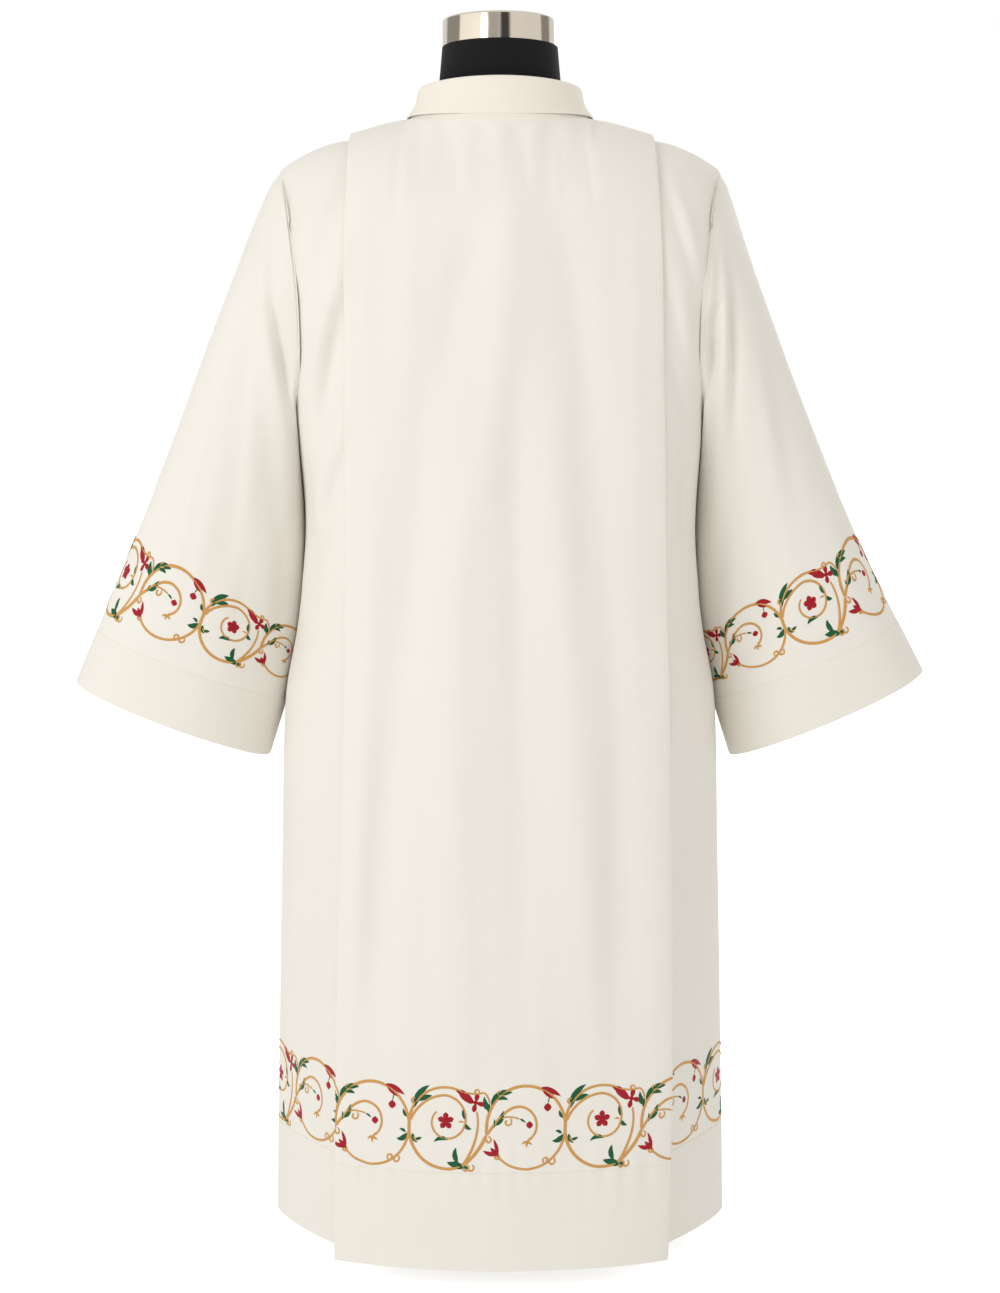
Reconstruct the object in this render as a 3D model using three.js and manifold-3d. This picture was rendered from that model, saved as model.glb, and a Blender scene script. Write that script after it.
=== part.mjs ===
// A knee-length surplice worn by a limbless dress form: a cream cloth vestment with a turned-down collar, a
// wide panel between pleats at the back and front, flared set-in sleeves, and deep bands at hem and cuffs.
// Units are millimetres and +Z is up. The origin is on the floor under the middle of the neck.
// +Y is the wearer's front, so the back faces -Y, and +X is the wearer's right.
import * as THREE from 'three';
import { mergeVertices } from 'three/addons/utils/BufferGeometryUtils.js';
import Module from 'manifold-3d';

// ---- Driving dimensions ----
const singleCloth = 1.2;        // wall of the panels and sleeves
const doubledCloth = 2.0;       // wall of the hem and cuff bands, where the cloth is turned up on itself
const seamGap = 0.3;            // between neighbouring pieces
const hemHeight = 25;           // lower edge of the garment above the floor
const bandHeight = 100;         // depth of the hem band
const cuffBandHeight = 60;      // depth of the cuff bands, along the sleeve
const shoulderX = 231;          // shoulder point, where the armhole starts
const shoulderHeight = 1139;
const neckX = 96;               // half-width of the neckline
const neckHeight = { back: 1179.5, side: 1190, front: 1138 };
const neckDepth = { back: 91, front: 97 };
const underarm = { x: 214, z: 884 };
const armholeDepth = 96;        // half-depth of the armhole
const pleatTuck = 46;           // how far each pleat is folded under the panel
const foldRadius = 1.6;         // of the middle of the cloth where a pleat turns back
const slitLength = 260;         // front opening below the neckline
const slitWidth = 1.2;

// ---- Sections of the body of the garment ----
// pleat: half-width of the panel between its two pleats.  centre, edge: depth of the panel in the middle and
// at its pleats.  step: how far the side panel lies behind the pleat's edge.  tuck: how far the inner fold
// lies behind the panel.  side: half-width at the side seam.  drift: how far the panel hangs to the right.
// round: exponent of the side panel's curve, where 1 is flat and 2 is an ellipse.
const sections = {
  back: [
    { z: 25, pleat: 169.8, centre: 190, edge: 159, step: 45, tuck: 32, side: 242, drift: 1.2, round: 1.3 },
    { z: 120, pleat: 170.9, centre: 187, edge: 157, step: 38, tuck: 26, side: 240.5, drift: 3.1, round: 1.3 },
    { z: 290, pleat: 170.5, centre: 180, edge: 152, step: 26, tuck: 16, side: 237, drift: 5, round: 1.4 },
    { z: 450, pleat: 167.8, centre: 172, edge: 145, step: 17, tuck: 9, side: 233, drift: 6.7, round: 1.6 },
    { z: 540, pleat: 165.5, centre: 167, edge: 141, step: 13, tuck: 6.5, side: 230.5, drift: 7, round: 1.8 },
    { z: 600, pleat: 164.3, centre: 163, edge: 138, step: 11, tuck: 5, side: 226.5, drift: 7.2, round: 2.0 },
    { z: 660, pleat: 163, centre: 159, edge: 135, step: 9.5, tuck: 4, side: 215, drift: 6.5, round: 2.1 },
    { z: 710, pleat: 162.3, centre: 156.5, edge: 133, step: 8, tuck: 3.2, side: 209, drift: 6.2, round: 2.2 },
    { z: 780, pleat: 161.5, centre: 153, edge: 131, step: 7, tuck: 3.2, side: 206, drift: 5.5, round: 2.4 },
    { z: 900, pleat: 160.2, centre: 147, edge: 127, step: 6.6, tuck: 3.2, side: 214, drift: 4.8, round: 3.4 },
    { z: 1040, pleat: 159.2, centre: 139, edge: 119, step: 6.6, tuck: 3.2, side: 224, drift: 3.2, round: 4.4 },
    { z: 1110, pleat: 157.3, centre: 127, edge: 106, step: 6.6, tuck: 3.2, side: 230, drift: 2.8, round: 4.2 },
    { z: 1195, pleat: 157, centre: 108, edge: 92, step: 6.6, tuck: 3.2, side: 233, drift: 1.5, round: 4 },
  ],
  front: [
    { z: 25, pleat: 160, centre: 172, edge: 146, step: 36, tuck: 24, side: 242, drift: -1, round: 1.3 },
    { z: 120, pleat: 159.5, centre: 169, edge: 144, step: 30, tuck: 19, side: 240.5, drift: -1, round: 1.3 },
    { z: 290, pleat: 158, centre: 163, edge: 140, step: 21, tuck: 12, side: 237, drift: -1, round: 1.4 },
    { z: 450, pleat: 156, centre: 157, edge: 136, step: 14, tuck: 7, side: 233, drift: 1, round: 1.6 },
    { z: 540, pleat: 155, centre: 154, edge: 134, step: 11.5, tuck: 5.5, side: 230.5, drift: 2, round: 1.8 },
    { z: 600, pleat: 154, centre: 152, edge: 132, step: 10, tuck: 4.5, side: 226.5, drift: 2, round: 2.0 },
    { z: 660, pleat: 153.5, centre: 150, edge: 131, step: 8.5, tuck: 3.8, side: 215, drift: 2, round: 2.1 },
    { z: 710, pleat: 153, centre: 149.5, edge: 130, step: 7.5, tuck: 3.2, side: 209, drift: 2, round: 2.2 },
    { z: 780, pleat: 153, centre: 149, edge: 129.5, step: 7, tuck: 3.2, side: 206, drift: 2, round: 2.4 },
    { z: 900, pleat: 152, centre: 147, edge: 128, step: 6.6, tuck: 3.2, side: 214, drift: 1, round: 3.4 },
    { z: 1040, pleat: 152, centre: 140, edge: 122, step: 6.6, tuck: 3.2, side: 224, drift: 0, round: 4.4 },
    { z: 1110, pleat: 152, centre: 125, edge: 107, step: 6.6, tuck: 3.2, side: 230, drift: 0, round: 4.2 },
    { z: 1195, pleat: 152, centre: 104, edge: 88, step: 6.6, tuck: 3.2, side: 233, drift: 0, round: 4 },
  ],
};

// Height of the shoulder seam, over the panel and over the side panels beyond it.
const panelRidge = [
  { x: 90, z: 1192.5 }, { x: 115, z: 1188 }, { x: 136, z: 1182.5 }, { x: 160, z: 1175.5 },
];
const sideRidge = [
  { x: 150, z: 1170.8 }, { x: 172, z: 1167.5 }, { x: 192, z: 1161 }, { x: 212, z: 1151.5 },
  { x: shoulderX, z: shoulderHeight },
];

// Half of an armhole, from the shoulder point to the underarm. depth is its distance from the middle plane.
const armhole = [
  { at: 0, x: shoulderX, depth: 0, z: shoulderHeight },
  { at: 0.12, x: 226, depth: 36, z: 1120 },
  { at: 0.26, x: 218, depth: 68, z: 1088 },
  { at: 0.42, x: 210, depth: 91, z: 1035 },
  { at: 0.56, x: 206, depth: armholeDepth, z: 985 },
  { at: 0.72, x: 206, depth: 90, z: 935 },
  { at: 0.86, x: 210, depth: 60, z: 897 },
  { at: 1, x: underarm.x, depth: 0, z: underarm.z },
];

// Soft ridges and troughs, as lines seen from behind or before. depth is negative in a trough.
const foldEnds = 0.12;          // share of a fold's swell that lies past each end of its line
const folds = {
  back: [
    { x1: -157, z1: 1112, x2: -201, z2: 998, width: 9, depth: -3 },
    { x1: -155, z1: 1050, x2: -193, z2: 920, width: 7, depth: 6.5 },
    { x1: -162, z1: 985, x2: -188, z2: 850, width: 9, depth: -8 },
    { x1: -155, z1: 882, x2: -192, z2: 772, width: 8, depth: 7 },
    { x1: -162, z1: 845, x2: -190, z2: 738, width: 10, depth: -9 },
    { x1: -203, z1: 860, x2: -194, z2: 700, width: 9, depth: -9 },
    { x1: -190, z1: 570, x2: -212, z2: 330, width: 14, depth: 4.5 },
    { x1: -166, z1: 520, x2: -192, z2: 290, width: 12, depth: -5 },
    { x1: 170, z1: 1135, x2: 204, z2: 1010, width: 8, depth: 5 },
    { x1: 172, z1: 1100, x2: 198, z2: 1015, width: 7, depth: -6 },
    { x1: 186, z1: 1050, x2: 190, z2: 905, width: 10, depth: 3.5 },
    { x1: 170, z1: 935, x2: 196, z2: 872, width: 8, depth: -8 },
    { x1: 188, z1: 850, x2: 187, z2: 740, width: 8, depth: -10 },
    { x1: 180, z1: 560, x2: 188, z2: 300, width: 10, depth: -4 },
    { x1: 16, z1: 1150, x2: 2, z2: 930, width: 20, depth: 4 },
    { x1: 2, z1: 955, x2: -42, z2: 700, width: 22, depth: 4.5 },
    { x1: -42, z1: 745, x2: -54, z2: 250, width: 24, depth: 5 },
    { x1: -22, z1: 1080, x2: -70, z2: 880, width: 20, depth: -4.5 },
    { x1: -70, z1: 910, x2: -94, z2: 640, width: 20, depth: -5 },
    { x1: -94, z1: 685, x2: -128, z2: 270, width: 20, depth: -5 },
    { x1: -88, z1: 1110, x2: -92, z2: 930, width: 18, depth: 3.5 },
    { x1: -126, z1: 860, x2: -133, z2: 560, width: 15, depth: 3.5 },
    { x1: -134, z1: 600, x2: -150, z2: 300, width: 13, depth: 4 },
    { x1: 12, z1: 900, x2: 21, z2: 620, width: 20, depth: -4 },
    { x1: 20, z1: 665, x2: 30, z2: 280, width: 22, depth: -4.5 },
    { x1: 50, z1: 900, x2: 70, z2: 640, width: 20, depth: 4 },
    { x1: 70, z1: 685, x2: 86, z2: 280, width: 20, depth: 4.5 },
    { x1: 58, z1: 1095, x2: 92, z2: 880, width: 20, depth: -4.5 },
    { x1: 92, z1: 915, x2: 112, z2: 620, width: 20, depth: -5 },
    { x1: 112, z1: 665, x2: 132, z2: 260, width: 18, depth: -5 },
  ],
  front: [
    { x1: -158, z1: 1095, x2: -198, z2: 975, width: 9, depth: -4 },
    { x1: 160, z1: 1090, x2: 197, z2: 960, width: 9, depth: -4 },
    { x1: -162, z1: 1040, x2: -196, z2: 900, width: 8, depth: 4.5 },
    { x1: 163, z1: 1035, x2: 196, z2: 900, width: 8, depth: 4.5 },
    { x1: -164, z1: 850, x2: -192, z2: 735, width: 10, depth: -6 },
    { x1: 165, z1: 840, x2: 192, z2: 730, width: 10, depth: -6 },
    { x1: -178, z1: 540, x2: -196, z2: 280, width: 13, depth: -5 },
    { x1: 178, z1: 540, x2: 194, z2: 280, width: 13, depth: -5 },
    { x1: 60, z1: 1060, x2: 84, z2: 860, width: 20, depth: -4.5 },
    { x1: 84, z1: 895, x2: 104, z2: 620, width: 20, depth: -5 },
    { x1: 104, z1: 660, x2: 122, z2: 250, width: 20, depth: -5 },
    { x1: -56, z1: 1050, x2: -80, z2: 850, width: 20, depth: -4.5 },
    { x1: -80, z1: 885, x2: -98, z2: 600, width: 20, depth: -5 },
    { x1: -98, z1: 645, x2: -118, z2: 250, width: 20, depth: -5 },
    { x1: 34, z1: 840, x2: 44, z2: 560, width: 22, depth: 4 },
    { x1: 44, z1: 605, x2: 54, z2: 250, width: 22, depth: 4.5 },
    { x1: -30, z1: 820, x2: -40, z2: 540, width: 22, depth: 4 },
    { x1: -40, z1: 585, x2: -50, z2: 250, width: 22, depth: 4.5 },
    { x1: 2, z1: 700, x2: 4, z2: 420, width: 20, depth: -4 },
    { x1: 4, z1: 460, x2: 0, z2: 240, width: 20, depth: -4 },
  ],
};
// The neckline is eased into its seam: small gathers that die out down the panel.
const gathers = { pitch: 34.6, depth: 1.7, reach: 95, sideFade: 20, start: 24 };

// ---- Sleeves ----
// outer and inner are the corners of the cuff's lower edge, and depth is the cuff's half-depth.
const sleeves = {
  left: { outer: { x: 451, z: 604 }, inner: { x: 247, z: 525 }, depth: 80 },
  right: { outer: { x: 449.5, z: 615 }, inner: { x: 248, z: 525 }, depth: 80 },
};
const sleeveClearance = 2.6;    // from the body of the garment
// Along a sleeve, share 0 is the armhole and 1 is the cuff's edge. innerX is where its lower line runs, close
// along the body, and forward is how far that line hangs to the wearer's front. left and right are how far
// the upper line bows out from straight.
const sleeveLines = [
  { share: 0, innerX: 214, forward: 0, left: 0, right: 0 },
  { share: 0.05, innerX: 213.5, forward: 4, left: 3, right: -1 },
  { share: 0.15, innerX: 209, forward: 20, left: 3.5, right: -5 },
  { share: 0.35, innerX: 203, forward: 34, left: 1, right: -11 },
  { share: 0.5, innerX: 205, forward: 36, left: -1.5, right: -12.5 },
  { share: 0.65, innerX: 212, forward: 34, left: -2.5, right: -12.5 },
  { share: 0.8, innerX: 226, forward: 26, left: -1.5, right: -9.5 },
  { share: 1, innerX: 247.5, forward: 10, left: 0, right: 0 },
];
// The sleeves' folds, as the body's are given.
const sleeveFolds = {
  back: [
    { x1: -234, z1: 1100, x2: -232, z2: 1000, width: 7, depth: -4 },
    { x1: -232, z1: 1005, x2: -208, z2: 908, width: 9, depth: -9 },
    { x1: -241, z1: 1085, x2: -236, z2: 990, width: 8, depth: 4 },
    { x1: -238, z1: 1000, x2: -225, z2: 869, width: 9, depth: 7 },
    { x1: -223, z1: 890, x2: -215, z2: 726, width: 11, depth: 5 },
    { x1: -252, z1: 1005, x2: -273, z2: 828, width: 16, depth: -5 },
    { x1: -270, z1: 850, x2: -285, z2: 720, width: 16, depth: -4 },
    { x1: -264, z1: 1010, x2: -324, z2: 798, width: 15, depth: 4.5 },
    { x1: 220, z1: 1064, x2: 223, z2: 1000, width: 6, depth: -3 },
    { x1: 220, z1: 988, x2: 209, z2: 906, width: 9, depth: -8 },
    { x1: 229, z1: 1020, x2: 228, z2: 865, width: 8, depth: 6 },
    { x1: 228, z1: 880, x2: 221, z2: 736, width: 11, depth: 4 },
    { x1: 234, z1: 1030, x2: 239, z2: 874, width: 6, depth: -6 },
    { x1: 254, z1: 1000, x2: 286, z2: 798, width: 15, depth: 4.5 },
    { x1: 272, z1: 960, x2: 304, z2: 798, width: 13, depth: -4 },
  ],
  front: [
    { x1: -232, z1: 1080, x2: -228, z2: 980, width: 8, depth: -4 },
    { x1: -230, z1: 1000, x2: -210, z2: 910, width: 10, depth: -7 },
    { x1: -240, z1: 1010, x2: -226, z2: 860, width: 10, depth: 6 },
    { x1: -256, z1: 1000, x2: -280, z2: 820, width: 16, depth: -5 },
    { x1: -266, z1: 1010, x2: -318, z2: 800, width: 16, depth: 4.5 },
    { x1: 232, z1: 1080, x2: 228, z2: 980, width: 8, depth: -4 },
    { x1: 230, z1: 1000, x2: 210, z2: 910, width: 10, depth: -7 },
    { x1: 240, z1: 1010, x2: 226, z2: 860, width: 10, depth: 6 },
    { x1: 256, z1: 1000, x2: 280, z2: 820, width: 16, depth: -5 },
    { x1: 266, z1: 1010, x2: 318, z2: 800, width: 16, depth: 4.5 },
  ],
};

// ---- Collar ----
// Each row is one horizontal line of the collar, from the seam up. out is the distance from the neckline's
// curve (negative is towards the neck) and up is the height over it, at the back, the sides and the front.
const standProfile = [
  { outBack: 0, upBack: 1.3, outSide: 0, upSide: 1.3, outFront: 0, upFront: 1.3 },
  { outBack: -5.5, upBack: 10, outSide: -7, upSide: 7.5, outFront: -4.5, upFront: 9 },
  { outBack: -12, upBack: 27, outSide: -13.5, upSide: 18.5, outFront: -10, upFront: 21 },
  { outBack: -16, upBack: 40.1, outSide: -17, upSide: 27.6, outFront: -14, upFront: 30.6 },
];
const fallProfile = [
  { outBack: -15.9, upBack: 41.2, outSide: -16.9, upSide: 28.7, outFront: -13.9, upFront: 31.7 },
  { outBack: -14.4, upBack: 44.4, outSide: -15.5, upSide: 31.4, outFront: -12.4, upFront: 34.4 },
  { outBack: -10.8, upBack: 45.4, outSide: -12.6, upSide: 32.2, outFront: -9.2, upFront: 35.6 },
  { outBack: -8, upBack: 42.2, outSide: -10.7, upSide: 29.2, outFront: -6.6, upFront: 32.6 },
  { outBack: -5.8, upBack: 30, outSide: -8.6, upSide: 19.5, outFront: -3.5, upFront: 21 },
  { outBack: -3.8, upBack: 18, outSide: -5, upSide: 12.5, outFront: 0, upFront: 9 },
  { outBack: -1.5, upBack: 7, outSide: 2, upSide: 4, outFront: 5, upFront: -3 },
];
const collarWall = 1.5;
const standEnd = 1.5;           // half-gap between the ends of the stand at the centre front
const fallEnd = 7;              // half-gap between the ends of the fall

// ---- Dress form ----
// side is the half-width, back and front are depths, round is the exponent of the section's curve.
const torsoSections = [
  { z: 402, side: 150, back: 78, front: 84, round: 2.2 },
  { z: 410, side: 168, back: 92, front: 97, round: 2.2 },
  { z: 440, side: 177, back: 103, front: 104, round: 2.3 },
  { z: 520, side: 181, back: 112, front: 106, round: 2.3 },
  { z: 620, side: 174, back: 106, front: 104, round: 2.3 },
  { z: 730, side: 165, back: 97, front: 102, round: 2.3 },
  { z: 830, side: 172, back: 101, front: 108, round: 2.3 },
  { z: 920, side: 184, back: 110, front: 117, round: 2.3 },
  { z: 1000, side: 192, back: 116, front: 119, round: 2.3 },
  { z: 1060, side: 200, back: 117, front: 112, round: 2.3 },
  { z: 1105, side: 207, back: 108, front: 98, round: 2.3 },
  { z: 1130, side: 208, back: 95, front: 84, round: 2.2 },
  { z: 1146, side: 194, back: 84, front: 74, round: 2.1 },
  { z: 1159, side: 170, back: 76, front: 68, round: 2 },
  { z: 1168, side: 140, back: 72, front: 66, round: 2 },
  { z: 1177, side: 110, back: 70, front: 66, round: 2 },
  { z: 1190, side: 73, back: 68, front: 66, round: 2 },
  { z: 1208, side: 66, back: 65, front: 64, round: 2 },
  { z: 1232, side: 63.3, back: 63, front: 62.5, round: 2 },
  { z: 1266, side: 60.2, back: 60.2, front: 60.2, round: 2 },
];
const neckCap = { bottom: 1266.3, top: 1293.7, radius: 59.7, edge: 1.6, crown: 2.5 };
const pole = { radius: 14, bottom: 12, top: 401.7 };
const socket = { radius: 27, top: 46, lip: 34, lipTop: 18 };
const base = { radius: 120, height: 11.7, edge: 4 };

const rad = THREE.MathUtils.degToRad;
const lerp = THREE.MathUtils.lerp;
const clamp = THREE.MathUtils.clamp;
const smoothstep = THREE.MathUtils.smoothstep;

// A table's row at a value of its key, on a smooth curve through the rows.
function rowAt(table, key, value) {
  const last = table.length - 1;
  const v = clamp(value, table[0][key], table[last][key]);
  let i = 0;
  while (i < last - 1 && v > table[i + 1][key]) i++;
  const [r0, r1, r2, r3] = [table[Math.max(i - 1, 0)], table[i], table[i + 1], table[Math.min(i + 2, last)]];
  const span = r2[key] - r1[key];
  const t = (v - r1[key]) / span;
  const row = {};
  for (const name of Object.keys(r1)) {
    const slope1 = r0 === r1 ? (r2[name] - r1[name]) : (r2[name] - r0[name]) / (r2[key] - r0[key]) * span;
    const slope2 = r3 === r2 ? (r2[name] - r1[name]) : (r3[name] - r1[name]) / (r3[key] - r1[key]) * span;
    const t2 = t * t;
    const t3 = t2 * t;
    row[name] = (2 * t3 - 3 * t2 + 1) * r1[name] + (t3 - 2 * t2 + t) * slope1
      + (3 * t2 - 2 * t3) * r2[name] + (t3 - t2) * slope2;
  }
  return row;
}

// How far the folds push the cloth out at a place seen as (x, z).
function foldsAt(table, x, z) {
  let out = 0;
  for (const f of table) {
    const [dx, dz] = [f.x2 - f.x1, f.z2 - f.z1];
    const length2 = dx * dx + dz * dz;
    const along = ((x - f.x1) * dx + (z - f.z1) * dz) / length2;
    const across = ((x - f.x1) * dz - (z - f.z1) * dx) / Math.sqrt(length2);
    const fade = Math.sin(Math.PI * clamp(foldEnds + along * (1 - 2 * foldEnds), 0, 1));
    out += f.depth * fade * Math.exp(-((across / f.width) ** 2));
  }
  return out;
}

// ---- Body of the garment ----
// A section as it is on one side: hand is -1 on the wearer's left and 1 on the right.
const handed = (s, hand) => ({ ...s, pleat: s.pleat + hand * s.drift });
const panelDepth = (s, x) => s.centre - (s.centre - s.edge) * (x / s.pleat) ** 2;

// The side panel's curve at a height, from the pleat (share 0) to the side seam (share 1).
function sidePoint(s, share) {
  const n = s.round;
  const depth = (s.edge - s.step) / (1 - (s.pleat / s.side) ** n) ** (1 / n);
  const first = Math.asin((s.pleat / s.side) ** (n / 2));
  const angle = lerp(first, Math.PI / 2, share);
  return { x: s.side * Math.sin(angle) ** (2 / n), depth: depth * Math.max(Math.cos(angle), 0) ** (2 / n) };
}

// How far the garment reaches sideways at a height and a depth, without its panel.
function bodyReach(s, y) {
  const n = s.round;
  const depth = (s.edge - s.step) / (1 - (s.pleat / s.side) ** n) ** (1 / n);
  return s.side * Math.max(1 - Math.min(Math.abs(y) / depth, 1) ** n, 0) ** (1 / n);
}

// The columns of half a panel, from the centre to the side seam.
const panelSteps = 9;
const sideSteps = 7;
function halfColumns() {
  const columns = [];
  for (let i = 0; i < panelSteps; i++) columns.push({ part: 'panel', t: i / panelSteps });
  for (const turn of [0, 60, 120, 180]) columns.push({ part: 'edge', turn: rad(turn) });
  columns.push({ part: 'middle', t: 0.5 });
  for (const turn of [0, 90, 180]) columns.push({ part: 'tuck', turn: rad(turn) });
  columns.push({ part: 'under', t: 0.5 });
  for (let i = 0; i <= sideSteps; i++) columns.push({ part: 'side', t: i / sideSteps });
  return columns;
}

// Where a column crosses the section at one height: x, and how deep it lies behind or before the middle.
function sectionPoint(s, column) {
  const r = foldRadius;
  const inner = s.pleat - pleatTuck;
  let x = 0;
  let inset = 0;
  if (column.part === 'side') return sidePoint(s, column.t);
  if (column.part === 'panel') x = (s.pleat - r) * column.t;
  if (column.part === 'edge') {
    x = s.pleat - r + r * Math.sin(column.turn);
    inset = r * (1 - Math.cos(column.turn));
  }
  if (column.part === 'middle') {
    x = lerp(s.pleat - r, inner + r, column.t);
    inset = lerp(2 * r, s.tuck, column.t);
  }
  if (column.part === 'tuck') {
    x = inner + r - r * Math.sin(column.turn);
    inset = s.tuck + r * (1 - Math.cos(column.turn));
  }
  if (column.part === 'under') {
    x = lerp(inner + r, s.pleat, column.t);
    inset = lerp(s.tuck + 2 * r, s.step, column.t);
  }
  return { x, depth: panelDepth(s, x) - inset, inset };
}

const shoulderShare = 0.42;     // share of the side columns that start on the shoulder seam
const topSection = 1195;

// Where a column starts, on the neckline, the shoulder seam or the armhole.
function topPoint(side, column, hand) {
  const s = handed(rowAt(sections[side], 'z', topSection), hand);
  const at = sectionPoint(s, column);
  if (column.part === 'side' && column.t > shoulderShare) {
    const a = rowAt(armhole, 'at', (column.t - shoulderShare) / (1 - shoulderShare));
    return { x: a.x, depth: a.depth, z: a.z, rounding: 0.5 };
  }
  if (column.part === 'side') {
    const x = lerp(s.pleat, shoulderX, column.t / shoulderShare);
    return { x, depth: 0, z: rowAt(sideRidge, 'x', x).z, rounding: 0 };
  }
  if (at.x < neckX) {
    const share = (at.x / neckX) ** 2;
    const z = lerp(neckHeight[side], neckHeight.side, share);
    return { x: at.x, depth: neckDepth[side] * Math.sqrt(1 - share), z, rounding: 1 - share * share };
  }
  return { x: at.x, depth: 0, z: rowAt(panelRidge, 'x', at.x).z - at.inset, rounding: 0 };
}

const shoulderRound = 105;      // height over which the cloth turns from the shoulder into the panel

// One point in the middle of the cloth. side is back or front, hand is -1 or 1 for the sign of x.
function bodyPoint(side, column, hand, z, top) {
  const s = handed(rowAt(sections[side], 'z', z), hand);
  const at = sectionPoint(s, column);
  const drop = clamp((top.z - z) / shoulderRound, 0, 1);
  const round = lerp(Math.sqrt(1 - (1 - drop) ** 2), Math.sin(drop * Math.PI / 2), top.rounding);
  let x = lerp(top.x, at.x, round);
  let depth = lerp(top.depth, at.depth, round);
  const outward = column.part === 'side' ? column.t : 0;
  let push = foldsAt(folds[side], hand * x, z) * round * (1 - outward ** 4);
  if (column.part === 'panel' || column.part === 'edge') {
    const wave = Math.cos(2 * Math.PI * x / gathers.pitch);
    const near = clamp(1 - (top.z - z) / gathers.reach, 0, 1) * clamp((neckX - x) / gathers.sideFade, 0, 1);
    const begun = Math.sin(Math.PI * clamp((top.z - z) / gathers.start, 0, 0.5));
    push += gathers.depth * wave * near * begun;
  }
  x += push * outward;
  depth += push * (1 - outward);
  return new THREE.Vector3(hand * x, (side === 'back' ? -1 : 1) * depth, z);
}

const upperRows = [0, 0.015, 0.055, 0.12, 0.21, 0.34, 0.5, 0.72, 1];
const commonHeight = 868;       // below this the rows are level
const lowerHeights = [800, 735, 665, 580, 460, 300, hemHeight + bandHeight + seamGap / 2];
const bandHeights = [hemHeight + bandHeight - seamGap / 2, hemHeight + bandHeight / 2, hemHeight];

function sheetColumns() {
  const half = halfColumns();
  const left = half.slice(1).reverse().map((column) => ({ column, hand: -1 }));
  return [...left, ...half.map((column) => ({ column, hand: 1 }))];
}

// Neighbouring sheets stop half a seam gap short of the line they share.
function trimmed(p, side) {
  const least = seamGap / 2;
  const depth = Math.max(Math.abs(p.y), least);
  return new THREE.Vector3(p.x, side === 'back' ? -depth : depth, p.z);
}

function panelGrid(side) {
  return sheetColumns().map(({ column, hand }) => {
    const top = topPoint(side, column, hand);
    const upper = upperRows.map((f) => lerp(top.z, commonHeight, f));
    return [...upper, ...lowerHeights].map((z) => trimmed(bodyPoint(side, column, hand, z, top), side));
  });
}

function bandGrid(side) {
  return sheetColumns().map(({ column, hand }) => {
    const top = topPoint(side, column, hand);
    return bandHeights.map((z) => trimmed(bodyPoint(side, column, hand, z, top), side));
  });
}

// ---- Walls ----
// Outward directions at the points of a grid of columns. closed joins the last column to the first.
// At the middle plane, where sheets meet, the wall stands square to the plane.
function gridNormals(grid, closed) {
  const n = grid.length;
  return grid.map((column, i) => column.map((_, j) => {
    const before = closed ? grid[(i + n - 1) % n] : grid[Math.max(i - 1, 0)];
    const after = closed ? grid[(i + 1) % n] : grid[Math.min(i + 1, n - 1)];
    const across = after[j].clone().sub(before[j]);
    const down = column[Math.min(j + 1, column.length - 1)].clone().sub(column[Math.max(j - 1, 0)]);
    const normal = across.cross(down);
    if (Math.abs(column[j].y) < seamGap) normal.y = 0;
    return normal.normalize();
  }));
}

// A closed wall of one thickness whose middle runs through a grid of columns of points.
function wallGeometry(grid, thickness, closed = false) {
  const normals = gridNormals(grid, closed);
  const [columns, rows] = [grid.length, grid[0].length];
  const positions = [];
  for (const sign of [0.5, -0.5]) {
    grid.forEach((column, i) => column.forEach((p, j) => {
      positions.push(...p.clone().addScaledVector(normals[i][j], sign * thickness).toArray());
    }));
  }
  const at = (i, j, inner) => (inner ? columns * rows : 0) + (i % columns) * rows + j;
  const index = [];
  const quad = (a, b, c, d) => index.push(a, b, c, a, c, d);
  const spans = closed ? columns : columns - 1;
  for (let i = 0; i < spans; i++) {
    for (let j = 0; j < rows - 1; j++) {
      quad(at(i, j), at(i + 1, j), at(i + 1, j + 1), at(i, j + 1));
      quad(at(i, j, true), at(i, j + 1, true), at(i + 1, j + 1, true), at(i + 1, j, true));
    }
    quad(at(i, 0), at(i, 0, true), at(i + 1, 0, true), at(i + 1, 0));
    quad(at(i, rows - 1), at(i + 1, rows - 1), at(i + 1, rows - 1, true), at(i, rows - 1, true));
  }
  if (!closed) {
    for (let j = 0; j < rows - 1; j++) {
      quad(at(0, j), at(0, j + 1), at(0, j + 1, true), at(0, j, true));
      const e = columns - 1;
      quad(at(e, j), at(e, j, true), at(e, j + 1, true), at(e, j + 1));
    }
  }
  return indexed(positions, index);
}

function indexed(positions, index) {
  const geometry = new THREE.BufferGeometry();
  geometry.setAttribute('position', new THREE.Float32BufferAttribute(positions, 3));
  geometry.setIndex(index);
  return geometry;
}

// ---- Sleeves ----
const sleeveSteps = 36;         // round the sleeve
const sleeveSeam = 1.6;         // the sleeve starts this far outside the armhole's edge
const mainRows = [0, 0.03, 0.07, 0.12, 0.18, 0.26, 0.36, 0.49, 0.64, 0.8, 1];
const sleeveEase = 0.06;        // share by which its folds and its clearance have come in
const sleeveTilt = 0.4;         // rise of the outward direction at its upper line
const sleeveRelease = 0.35;     // share by which a sleeve has lost the armhole's shape
const armReach = 60;            // the sleeve's top hangs free of the body for this far below the shoulder

const handOf = (name) => (name === 'right' ? 1 : -1);

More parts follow.
